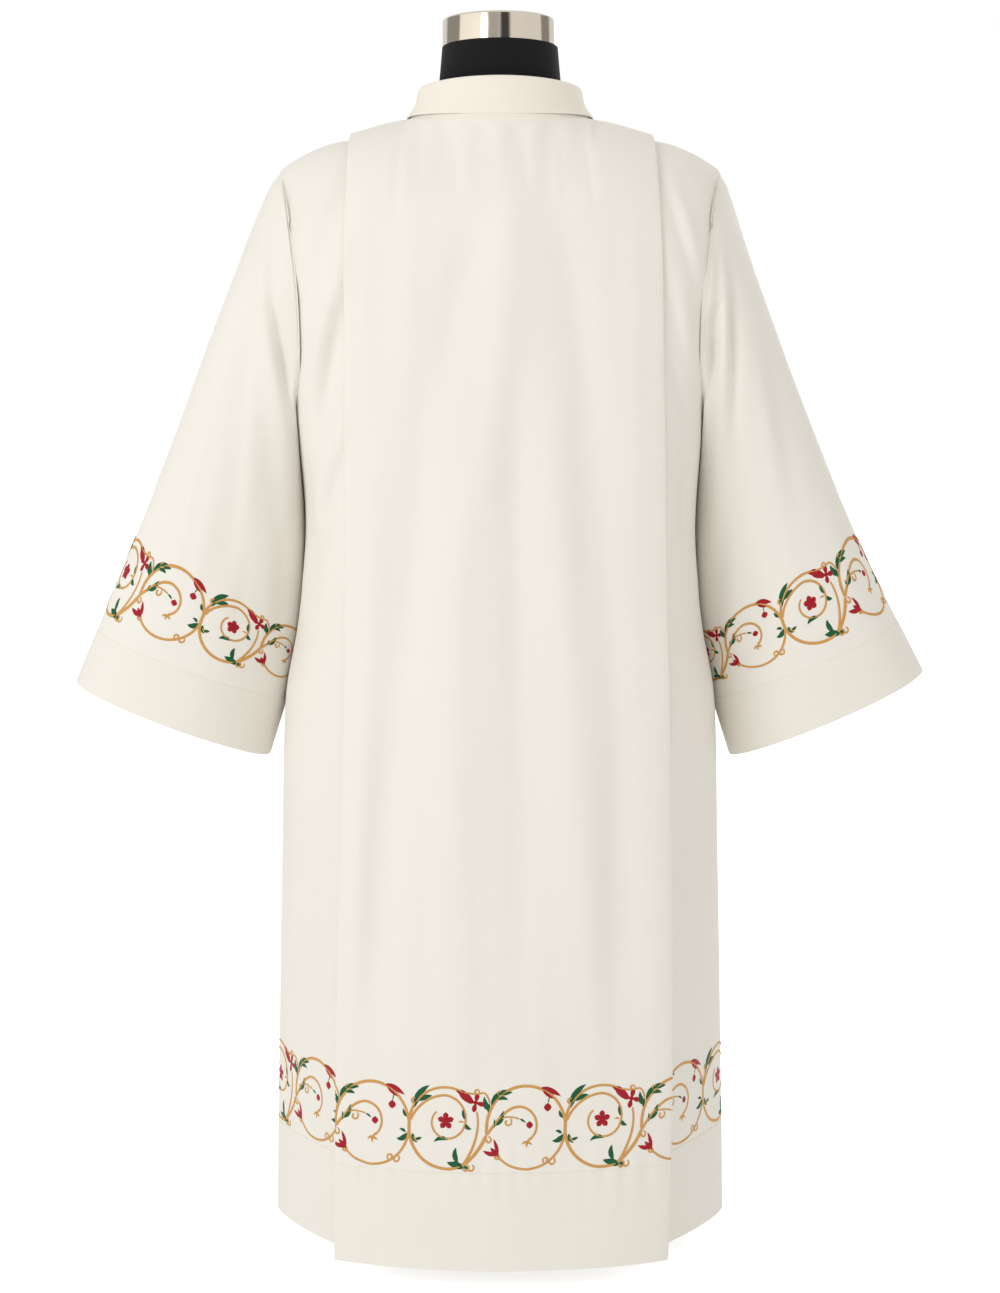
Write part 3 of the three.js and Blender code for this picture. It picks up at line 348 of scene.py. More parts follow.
# broad unevenness that no cloth is without, and the small ripples at the hem seam
def unevenness(x, z, seed):
    out = np.zeros(np.broadcast(x, z).shape)
    random = np.random.default_rng(seed)
    for wave in range(sway["waves"]):
        pitch = random.uniform(*sway["pitch"])
        lean = random.normal(0, sway["lean"])
        phase = random.uniform(0, 2 * np.pi, 2)
        slow = np.sin(z / random.uniform(*sway["slowPitch"]) + phase[1])
        slow = sway["least"] + (1 - sway["least"]) * slow
        out += sway["rise"] * pitch * np.sin(2 * np.pi * (x + lean * z) / pitch + phase[0]) * slow
    seam = g["hemHeight"] + g["bandHeight"]
    stagger = puckers["stagger"] * np.sin(x / puckers["staggerPitch"] + seed)
    ripple = np.sin(2 * np.pi * x / puckers["pitch"] + stagger)
    swell = np.sin(x / puckers["swellPitch"] + seed) ** 2
    strength = puckers["least"] + (1 - puckers["least"]) * swell
    out += puckers["depth"] * ripple * strength * np.exp(-(np.abs(z - seam) / puckers["reach"]))
    return out


def sideDepth(s):
    n = s["round"]
    return (s["edge"] - s["step"]) / (1 - (s["pleat"] / s["side"]) ** n) ** (1 / n)


def sidePoint(s, share):
    n = s["round"]
    first = np.arcsin((s["pleat"] / s["side"]) ** (n / 2))
    angle = lerp(first, np.pi / 2, share)
    depth = sideDepth(s) * np.maximum(np.cos(angle), 0) ** (2 / n)
    return s["side"] * np.sin(angle) ** (2 / n), depth


def bodyReach(s, y):
    n = s["round"]
    return s["side"] * np.maximum(1 - np.minimum(np.abs(y) / sideDepth(s), 1) ** n, 0) ** (1 / n)


# where a column of the cloth crosses the section: panel, fold, hidden layers of the pleat, side
def sectionPoint(s, part, t):
    r = g["foldRadius"]
    inner = s["pleat"] - g["pleatTuck"]
    if part == "side":
        return (*sidePoint(s, t), 0 * s["pleat"])  # no inset, at each height
    if part == "panel":
        x, inset = (s["pleat"] - r) * t, 0 * s["pleat"]
    if part == "edge":
        x, inset = s["pleat"] - r + r * math.sin(t), r * (1 - math.cos(t)) + 0 * s["pleat"]
    if part == "middle":
        x, inset = lerp(s["pleat"] - r, inner + r, t), lerp(2 * r, s["tuck"], t)
    if part == "tuck":
        x, inset = inner + r - r * math.sin(t), s["tuck"] + r * (1 - math.cos(t))
    if part == "under":
        x, inset = lerp(inner + r, s["pleat"], t), lerp(s["tuck"] + 2 * r, s["step"], t)
    roll = g["edgeRoll"] * np.exp(-np.maximum(s["pleat"] - x, 0) / g["rollWidth"])
    depth = s["centre"] - (s["centre"] - s["edge"]) * (x / s["pleat"]) ** 2 - inset
    return x, depth - (roll if part in ("panel", "edge") else 0), inset


def handed(s, hand):
    return {**s, "pleat": s["pleat"] + hand * s["drift"]}


# where a column starts: neckline, shoulder seam or armhole
def topPoint(side, part, t, hand):
    s = handed(rowAt(sections[side], "z", g["topSection"]), hand)
    x, depth, inset = (float(v) for v in sectionPoint(s, part, t))
    if part == "side" and t > g["shoulderShare"]:
        a = rowAt(armhole, "at", (t - g["shoulderShare"]) / (1 - g["shoulderShare"]))
        return float(a["x"]), float(a["depth"]), float(a["z"]), g["armholeRound"]
    if part == "side":
        x = lerp(float(s["pleat"]), g["shoulderX"], t / g["shoulderShare"])
        return x, 0.0, float(rowAt(sideRidge, "x", x)["z"]), 0.0
    if x < g["neckX"]:
        share = (x / g["neckX"]) ** 2
        z = lerp(neckHeight[side], neckHeight["side"], share)
        return x, neckDepth[side] * math.sqrt(1 - share), z, 1 - share * share
    return x, 0.0, float(rowAt(panelRidge, "x", x)["z"]) - inset, 0.0


# one column of the cloth's middle surface at several heights
def bodyColumn(side, part, t, hand, top, z):
    s = handed(rowAt(sections[side], "z", z), hand)
    atX, atDepth, _ = sectionPoint(s, part, t)
    topX, topDepth, topZ, rounding = top
    drop = np.clip((topZ - z) / g["shoulderRound"], 0, 1)
    turned = lerp(np.sqrt(1 - (1 - drop) ** 2), np.sin(drop * np.pi / 2), rounding)
    x, depth = lerp(topX, atX, turned), lerp(topDepth, atDepth, turned)
    outward = t if part == "side" else 0
    relief = foldsAt(folds[side], hand * x, z) + foldsAt(creases[side], hand * x, z)
    relief = relief + unevenness(hand * x, z, sway["seed"][side])
    push = relief * turned * (1 - outward**4)
    if part in ("panel", "edge"):
        wave = np.cos(2 * np.pi * x / gathers["pitch"])
        near = np.clip(1 - (topZ - z) / gathers["reach"], 0, 1)
        near = near * np.clip((g["neckX"] - x) / gathers["fade"], 0, 1)
        start = np.sin(np.pi * np.clip((topZ - z) / gathers["start"], 0, 0.5))
        push = push + gathers["depth"] * wave * near * start
    x, depth = x + push * outward, depth + push * (1 - outward)
    depth = np.maximum(depth, g["seamGap"] / 2)
    return np.stack([hand * x, (-1 if side == "back" else 1) * depth, z], axis=-1)


columnCounts = {"panel": 44, "edge": 7, "tuck": 4, "side": 30}
rowRuns = {"upper": 60, "crowding": 1.5, "middle": (860, 224, 76), "fineFrom": 220, "fine": 28, "band": 22}


def bodyColumns():
    n = columnCounts
    half = [("panel", i / n["panel"]) for i in range(n["panel"])]
    half += [("edge", math.pi * i / n["edge"]) for i in range(n["edge"] + 1)]
    half += [("middle", t) for t in (0.2, 0.5, 0.8)]
    half += [("tuck", math.pi * i / n["tuck"]) for i in range(n["tuck"] + 1)]
    half += [("under", t) for t in (0.2, 0.4, 0.6, 0.8)]
    half += [("side", i / n["side"]) for i in range(n["side"] + 1)]
    return [(p, t, -1) for p, t in half[:0:-1]] + [(p, t, 1) for p, t in half]


# the grid of a whole back or front, then its hem band; columns run to the wearer's right
def bodyGrids(side):
    seam = g["hemHeight"] + g["bandHeight"]
    upper = np.linspace(0, 1, rowRuns["upper"]) ** rowRuns["crowding"]
    fine = np.linspace(rowRuns["fineFrom"], seam - seamEnds["cloth"], rowRuns["fine"])
    level = np.concatenate([np.linspace(*rowRuns["middle"]), fine])
    band = np.linspace(seam - seamEnds["band"], g["hemHeight"], rowRuns["band"])
    main, hem = [], []
    for part, t, hand in bodyColumns():
        top = topPoint(side, part, t, hand)
        z = np.concatenate([lerp(top[2], g["levelBelow"], upper), level])
        main.append(bodyColumn(side, part, t, hand, top, z))
        hem.append(bodyColumn(side, part, t, hand, top, band))
    return np.array(main), np.array(hem)


# outward directions of a grid
def gridNormals(grid):
    normal = np.cross(np.gradient(grid, axis=1), np.gradient(grid, axis=0))
    return normal / np.maximum(np.linalg.norm(normal, axis=2, keepdims=True), 1e-9)


# lengths along the threads, in metres, from the middle column and the last row
def threadLengths(grid, closed):
    ring = np.concatenate([grid, grid[:1]]) if closed else grid
    across = np.linalg.norm(np.diff(ring, axis=0), axis=2)
    across = np.concatenate([np.zeros((1, ring.shape[1])), np.cumsum(across, 0)])
    across -= across[len(ring) // 2]
    along = np.linalg.norm(np.diff(ring, axis=1), axis=2)
    along = np.concatenate([np.zeros((len(ring), 1)), np.cumsum(along, 1)], 1)
    return across * mm, (along[:, -1:] - along) * mm


def meshObject(name, points, faces, finishes, uvs=None, slots=None):
    mesh = bpy.data.meshes.new(name)
    mesh.from_pydata((np.asarray(points) * mm).tolist(), [], [[int(c) for c in face] for face in faces])
    for finish in finishes:
        mesh.materials.append(finish.made)
    if uvs is not None:
        layer = mesh.uv_layers.new(name="thread")
        layer.data.foreach_set("uv", np.asarray(uvs, np.float32).ravel())
    if slots is not None:
        mesh.polygons.foreach_set("material_index", np.asarray(slots, np.int32))
    mesh.polygons.foreach_set("use_smooth", np.ones(len(mesh.polygons), bool))
    made = bpy.data.objects.new(name, mesh)
    bpy.context.scene.collection.objects.link(made)
    bpy.ops.object.select_all(action="DESELECT")
    made.select_set(True)
    bpy.context.view_layer.objects.active = made
    return made


# a sheet of cloth through a grid, with its wall; gone says which faces are left out
def clothSheet(name, grid, thickness, finish, closed=False, outward=True, gone=None):
    columns, rows = grid.shape[:2]
    i, j = np.meshgrid(np.arange(columns if closed else columns - 1), np.arange(rows - 1), indexing="ij")
    i, j = i.ravel(), j.ravel()
    if gone is not None:
        kept = ~gone(i, j)
        i, j = i[kept], j[kept]
    k = (i + 1) % columns
    corners = [(i, j, i), (i, j + 1, i), (k, j + 1, i + 1), (k, j, i + 1)]
    if not outward:
        corners = corners[::-1]
    faces = np.stack([a * rows + b for a, b, _ in corners], 1)
    across, along = threadLengths(grid, closed)
    uvs = np.stack([np.stack([across[c, b], along[c, b]], -1) for _, b, c in corners], 1)
    made = meshObject(name, grid.reshape(-1, 3), faces, [finish], uvs)
    wall = made.modifiers.new("wall", "SOLIDIFY")
    wall.thickness, wall.offset = thickness * mm, 0
    bpy.ops.object.modifier_apply(modifier=wall.name)
    bpy.ops.object.shade_smooth_by_angle(angle=math.radians(g["sharp"]))
    return made


back, backHem = bodyGrids("back")
front, frontHem = bodyGrids("front")
front, frontHem = front[::-1], frontHem[::-1]
backPiece = clothSheet("back_cloth", back, g["bodyCloth"], bodyCloth)
backBand = clothSheet("back_hem_cloth", backHem, g["bandCloth"], bandCloth)

# the front opening is a narrow gap down the middle column
middle = len(front) // 2
slit = front[middle].copy()
slitEnd = neckHeight["front"] - g["slitLength"]
frontCut = np.concatenate([front[:middle], [slit], [slit], front[middle + 1:]])
frontCut[middle, :, 0] = g["slitWidth"] / 2
frontCut[middle + 1, :, 0] = -g["slitWidth"] / 2
frontPiece = clothSheet("front_cloth", frontCut, g["bodyCloth"], bodyCloth,
                        gone=lambda i, j: (i == middle) & (front[middle][j + 1, 2] > slitEnd))
frontBand = clothSheet("front_hem_cloth", frontHem, g["bandCloth"], bandCloth)
print("back and front")

sleeves = {
    "left": {"outerX": 451, "outerZ": 604, "innerX": 247, "innerZ": 525, "hand": -1, "seed": 3},
    "right": {"outerX": 449.5, "outerZ": 615, "innerX": 248, "innerZ": 525, "hand": 1, "seed": 6},
}
# shares are parts of a sleeve's length, other sizes are in millimetres
cuff = {
    "height": 60, "depth": 80, "clearance": 0.9, "seam": 0.4, "tucked": -2.6, "release": 0.35, "ease": 0.06,
    "armReach": 60, "sunk": 0.985, "seamShare": 0.03, "fullness": 0.24, "fullShares": (0.1, 0.5),
    "foldTilt": 0.4, "forwardCurve": 1.5, "columns": 128, "rows": 105, "crowding": 0.9, "bandRows": 14,
    "swayWaves": 4, "swayRise": 0.55, "swayPace": 2.1,
}
sleeveLines = table("share innerX forward left right", [
    (0, 214, 0, 0, 0), (0.05, 213.5, 4, 3, -1), (0.15, 209, 20, 3.5, -5), (0.35, 203, 34, 1, -11),
    (0.5, 205, 36, -1.5, -12.5), (0.65, 212, 34, -2.5, -12.5), (0.8, 226, 26, -1.5, -9.5),
    (1, 247.5, 10, 0, 0)])
sleeveFolds = {
    "back": table("x1 z1 x2 z2 width depth", [
        (-234, 1100, -232, 1000, 7, -4), (-232, 1005, -208, 908, 9, -9), (-241, 1085, -236, 990, 8, 4),
        (-238, 1000, -225, 869, 9, 7), (-223, 890, -215, 726, 11, 5), (-252, 1005, -273, 828, 16, -5),
        (-270, 850, -285, 720, 16, -4), (-264, 1010, -324, 798, 15, 4.5), (220, 1064, 223, 1000, 6, -3),
        (220, 988, 209, 906, 9, -8), (229, 1020, 228, 865, 8, 6), (228, 880, 221, 736, 11, 4),
        (234, 1030, 239, 874, 6, -6), (254, 1000, 286, 798, 15, 4.5), (272, 960, 304, 798, 13, -4)]),
    "front": table("x1 z1 x2 z2 width depth", [
        (-232, 1080, -228, 980, 8, -4), (-230, 1000, -210, 910, 10, -7), (-240, 1010, -226, 860, 10, 6),
        (-256, 1000, -280, 820, 16, -5), (-266, 1010, -318, 800, 16, 4.5), (232, 1080, 228, 980, 8, -4),
        (230, 1000, 210, 910, 10, -7), (240, 1010, 226, 860, 10, 6), (256, 1000, 280, 820, 16, -5),
        (266, 1010, 318, 800, 16, 4.5)]),
}
sleeveCreases = {
    "back": table("x1 z1 x2 z2 width depth", [
        (-234, 1008, -224, 965, 5, -3), (-226, 968, -212, 900, 5, -4), (-224, 1000, -214, 925, 5, 3),
        (-242, 1060, -238, 985, 5, 2.5), (-246, 960, -262, 760, 8, 1.6), (-300, 900, -352, 740, 9, -1.4),
        (-276, 960, -322, 720, 8, -1.3), (-338, 820, -376, 690, 8, 1.4), (-240, 780, -248, 640, 9, 1.5),
        (-262, 740, -276, 640, 7, -1.3), (-300, 780, -322, 660, 7, 1.3), (-226, 760, -230, 640, 7, -1.4),
        (225, 1002, 213, 975, 5, -4), (214, 978, 209, 925, 5, -4), (233, 1040, 238, 935, 5, -4),
        (226, 1060, 228, 960, 5, 3), (246, 960, 262, 760, 8, 1.4), (300, 900, 352, 740, 9, -1.4),
        (328, 820, 368, 690, 8, 1.4), (240, 780, 248, 640, 9, 1.5), (262, 740, 276, 640, 7, -1.3),
        (290, 780, 312, 660, 7, 1.3), (226, 760, 230, 640, 7, -1.4)]),
    "front": table("x1 z1 x2 z2 width depth", [
        (-246, 960, -262, 760, 8, 1.6), (-300, 900, -352, 740, 9, -1.4), (-338, 820, -376, 690, 8, 1.4),
        (-240, 780, -248, 640, 9, 1.5), (246, 960, 262, 760, 8, 1.4), (300, 900, 352, 740, 9, -1.4),
        (328, 820, 368, 690, 8, 1.4), (240, 780, 248, 640, 9, 1.5)]),
}


# a slow sway round and along a sleeve
def sleeveSway(turn, share, seed):
    out = np.zeros_like(share)
    for wave in range(1, cuff["swayWaves"] + 1):
        along = np.sin(share * (cuff["swayPace"] + wave) + seed)
        fade = np.sin(np.pi * np.clip(share, 0, 1) * 0.5)
        out += cuff["swayRise"] * math.sin(wave * 2 * turn + seed * wave) * along * fade
    return out


def shareAtDistance(name, angle, distance):
    spec = sleeves[name]
    upper = math.hypot(spec["outerX"] - g["shoulderX"], g["shoulderHeight"] - spec["outerZ"])
    lower = math.hypot(spec["innerX"] - g["underarmX"], g["underarmHeight"] - spec["innerZ"])
    return 1 - distance / lerp(upper, lower, (1 - math.cos(math.radians(angle))) / 2)


# a line down a sleeve: angle is round it, from its upper line over the back, and share is along it
def sleeveColumn(name, angle, share):
    spec = sleeves[name]
    side, hand = ("back" if angle <= 180 else "front"), spec["hand"]
    line = rowAt(sleeveLines, "share", share)
    turn = math.radians(angle)
    ySign = -1 if side == "back" else 1
    low = (1 - math.cos(turn)) / 2
    slope = math.atan2(spec["outerX"] - g["shoulderX"], g["shoulderHeight"] - spec["outerZ"])
    outerX = lerp(g["shoulderX"], spec["outerX"], share) + line[name] * math.cos(slope)
    outerZ = lerp(g["shoulderHeight"], spec["outerZ"], share) + line[name] * math.sin(slope)
    innerZ = lerp(g["underarmHeight"], spec["innerZ"], share)
    seam = rowAt(armhole, "at", (angle if side == "back" else 360 - angle) / 180)
    release = smoothstep(share, 0, cuff["release"])
    widest = lerp(g["armholeDepth"], cuff["depth"], np.sin(share * np.pi / 2))
    fuller = cuff["fullness"] * smoothstep(low, 0.5, 1) * smoothstep(share, *cuff["fullShares"])
    depth = widest * abs(math.sin(turn)) ** (1 - fuller)
    x = lerp(outerX, line["innerX"], low)
    x = x + (seam["x"] - lerp(g["shoulderX"], g["underarmX"], low)) * (1 - release)
    y = ySign * lerp(seam["depth"], depth, release)
    z = lerp(outerZ, innerZ, low)
    z = z + (seam["z"] - lerp(g["shoulderHeight"], g["underarmHeight"], low)) * (1 - release)
    out = np.array([math.cos(turn), ySign * abs(math.sin(turn)), cuff["foldTilt"] * math.cos(turn)])
    out /= np.linalg.norm(out)
    push = foldsAt(sleeveFolds[side], hand * x, z) + foldsAt(sleeveCreases[side], hand * x, z)
    push = push * math.sqrt(abs(math.sin(turn))) * smoothstep(share, 0, cuff["ease"])
    push = push + sleeveSway(turn, share, spec["seed"])
    x, y, z = x + push * out[0], y + push * out[1], z + push * out[2]
    y = y + line["forward"] * low ** cuff["forwardCurve"]
    clear = cuff["clearance"] * smoothstep(share, 0, cuff["ease"])
    body = handed(rowAt(sections[side], "z", z), hand)
    x = np.where(z < g["shoulderHeight"] - cuff["armReach"], np.maximum(x, bodyReach(body, y) + clear), x)
    free = smoothstep(share, 0, cuff["seamShare"])
    x, y = x + lerp(cuff["tucked"], cuff["seam"], free), y * lerp(cuff["sunk"], 1, free)
    return np.stack([hand * x, y, z], axis=-1)


# rings between two distances from the cuff's edge; columns run to the wearer's right over the back
def sleeveGrid(name, rows, farthest, nearest):
    grid = []
    for angle in np.arange(cuff["columns"]) * 360 / cuff["columns"]:
        first = 0 if farthest is None else shareAtDistance(name, angle, farthest)
        grid.append(sleeveColumn(name, angle, lerp(first, shareAtDistance(name, angle, nearest), rows)))
    grid = np.array(grid)
    return np.roll(grid[::-1], 1, 0) if sleeves[name]["hand"] > 0 else grid


sleevePieces, sleeveMains = {}, {}
for name in ("right", "left"):
    rows = np.linspace(0, 1, cuff["rows"]) ** cuff["crowding"]
    main = sleeveGrid(name, rows, None, cuff["height"] - seamEnds["cloth"])
    edge = sleeveGrid(name, np.linspace(0, 1, cuff["bandRows"]), cuff["height"] - seamEnds["band"], 0)
    sleeveMains[name] = main
    sleevePieces[name] = (
        clothSheet(f"sleeve_{name}_cloth", main, g["bodyCloth"], bodyCloth, closed=True),
        clothSheet(f"cuff_{name}_cloth", edge, g["bandCloth"], bandCloth, closed=True))
print("sleeves and cuffs")

collar = {"wall": 1.3, "standEnd": 1.5, "fallEnd": 7, "columns": 150, "standRows": 20, "fallRows": 44}
standProfile = table("at outBack upBack outSide upSide outFront upFront", [
    (0, -0.4, -0.8, -0.4, -0.8, -0.4, -0.8), (1, -5.5, 10, -7, 7.5, -4.5, 9),
    (2, -12, 27, -13.5, 18.5, -10, 21), (3, -16, 40.1, -17, 27.6, -14, 30.6)])
fallProfile = table("at outBack upBack outSide upSide outFront upFront", [
    (0, -15.9, 41.2, -16.9, 28.7, -13.9, 31.7), (1, -14.4, 44.4, -15.5, 31.4, -12.4, 34.4),
    (2, -10.8, 45.4, -12.6, 32.2, -9.2, 35.6), (3, -8, 42.2, -10.7, 29.2, -6.6, 32.6),
    (4, -6.4, 30, -8.9, 19.5, -4, 21), (5, -5, 18, -5.6, 12, -0.6, 9), (6, -3.2, 7, 1, 2.8, 4.4, -3.4)])


def collarGrid(profile, endGap, rows):
    last = 180 - math.degrees(math.asin(endGap / g["neckX"]))
    grid = []
    for angle in np.linspace(-last, last, collar["columns"]):
        turn = math.radians(angle)
        isBack = abs(angle) <= 90
        end = "Back" if isBack else "Front"
        share = math.sin(turn) ** 2
        x, y = g["neckX"] * math.sin(turn), -neckDepth[end.lower()] * math.cos(turn)
        z = lerp(neckHeight[end.lower()], neckHeight["side"], share)
        line = rowAt(profile, "at", np.linspace(0, profile["at"][-1], rows))
        out = lerp(line["out" + end], line["outSide"], share)
        up = lerp(line["up" + end], line["upSide"], share)
        away = np.array([x, y]) / math.hypot(x, y)
        grid.append(np.stack([x + away[0] * out, y + away[1] * out, z + up], axis=-1))
    return np.array(grid)


standGrid = collarGrid(standProfile, collar["standEnd"], collar["standRows"])
fallGrid = collarGrid(fallProfile, collar["fallEnd"], collar["fallRows"])
standPiece = clothSheet("collar_stand_cloth", standGrid, collar["wall"], collarCloth, outward=False)
fallPiece = clothSheet("collar_fall_cloth", fallGrid, collar["wall"], collarCloth)
print("collar")

# The scroll pattern is drawn flat, in millimetres: u runs to the right and v up from just above the seam.
scroll = {
    "repeat": 154, "foot": (0, 5), "fork": (24, 34), "joint": (101.5, 42),
    "ringA": {"u": 63, "v": 41, "radius": 38.5}, "ringB": {"u": 136.5, "v": 41, "radius": 35},
    "rise": 0.75, "step": 1.6, "leafStep": 1.1, "stemEnds": 0.35, "leafCurve": 0.8, "thinnest": 0.22,
    "curlEnd": 0.3, "curlTurn": 310, "curlWidths": (0.85, 1.15), "petalBelly": 0.62, "petalFoot": 0.6,
}
goldThread, greenThread, redThread = 0, 1, 2


def arc(u, v, radii, angles):
    count = max(int(abs(math.radians(angles[1] - angles[0])) * max(radii) / scroll["step"]), 6)
    t = np.linspace(0, 1, count)
    radius, angle = lerp(radii[0], radii[1], t), np.radians(lerp(angles[0], angles[1], t))
    return np.stack([u + radius * np.cos(angle), v + radius * np.sin(angle)], 1)


def bend(start, startWay, end, endWay):
    a, b = np.array(start, float), np.array(end, float)
    length = np.linalg.norm(b - a)
    t = np.linspace(0, 1, max(int(length * 1.1 / scroll["step"]), 5))[:, None]
    p, q = np.array(startWay, float), np.array(endWay, float)
    p, q = p / np.linalg.norm(p) * length, q / np.linalg.norm(q) * length
    return curve(a, p, b, q, t)


def joined(*lines):
    return np.concatenate([lines[0]] + [line[1:] for line in lines[1:]])


class Drawing:
    def __init__(self):
        self.strokes = []

    # a raised line of satin stitch; widths are half-widths at its start and end
    def stem(self, line, start, end, thread=goldThread):
        width = lerp(start, end, np.linspace(0, 1, len(line)))
        width[[0, -1]] *= scroll["stemEnds"]
        self.strokes.append((line, width, thread))

    # a leaf or petal from a point, in a direction in degrees, bending to one side
    def leaf(self, at, way, length, width, bow=0.0, thread=greenThread, belly=0.42):
        t = np.linspace(0, 1, max(int(length / scroll["leafStep"]), 6))
        turn = np.radians(way + bow * (t - 0.5) * 2)
        steps = np.stack([np.cos(turn), np.sin(turn)], 1) * length / (len(t) - 1)
        line = np.array(at, float) + np.cumsum(steps, 0) - steps[0]
        rising, falling = t / belly, (t - belly) / (1 - belly)
        shape = np.where(t < belly, np.sin(rising * np.pi / 2), np.cos(falling * np.pi / 2))
        width = np.maximum(width * shape ** scroll["leafCurve"], scroll["thinnest"])
        self.strokes.append((line, width, thread))

    # several leaves, each a row of u, v, way, length, width and bow, measured from one place
    def leaves(self, rows, start=(0, 0), thread=greenThread):
        for u, v, *shape in rows:
            self.leaf((start[0] + u, start[1] + v), *shape, thread)

    def curl(self, at, way, size, hand=1, start=1.0):
        turn = math.radians(way) + hand * math.pi / 2
        u, v = at[0] + size * math.cos(turn), at[1] + size * math.sin(turn)
        first = way - hand * 90
        thick, thin = scroll["curlWidths"]
        coil = arc(u, v, (size, size * scroll["curlEnd"]), (first, first + hand * scroll["curlTurn"]))
        self.stem(coil, start * thick, thin)

    def flower(self, at, petals, length, width, turn):
        for i in range(petals):
            way = turn + 360 * i / petals
            u, v = (scroll["petalFoot"] * f(math.radians(way)) for f in (math.cos, math.sin))
            self.leaf((at[0] + u, at[1] + v), way, length, width, 0, redThread, scroll["petalBelly"])
        self.leaf((at[0] - width, at[1]), 0, 2 * width, width, 0, redThread, 0.5)

    def berry(self, at, size):
        self.leaf((at[0], at[1] + size), -90, 2 * size, size, 0, redThread, 0.5)


def onRing(ring, angle, extra=0.0):
    turn, radius = math.radians(angle), ring["radius"] + extra
    return ring["u"] + radius * math.cos(turn), ring["v"] + radius * math.sin(turn)


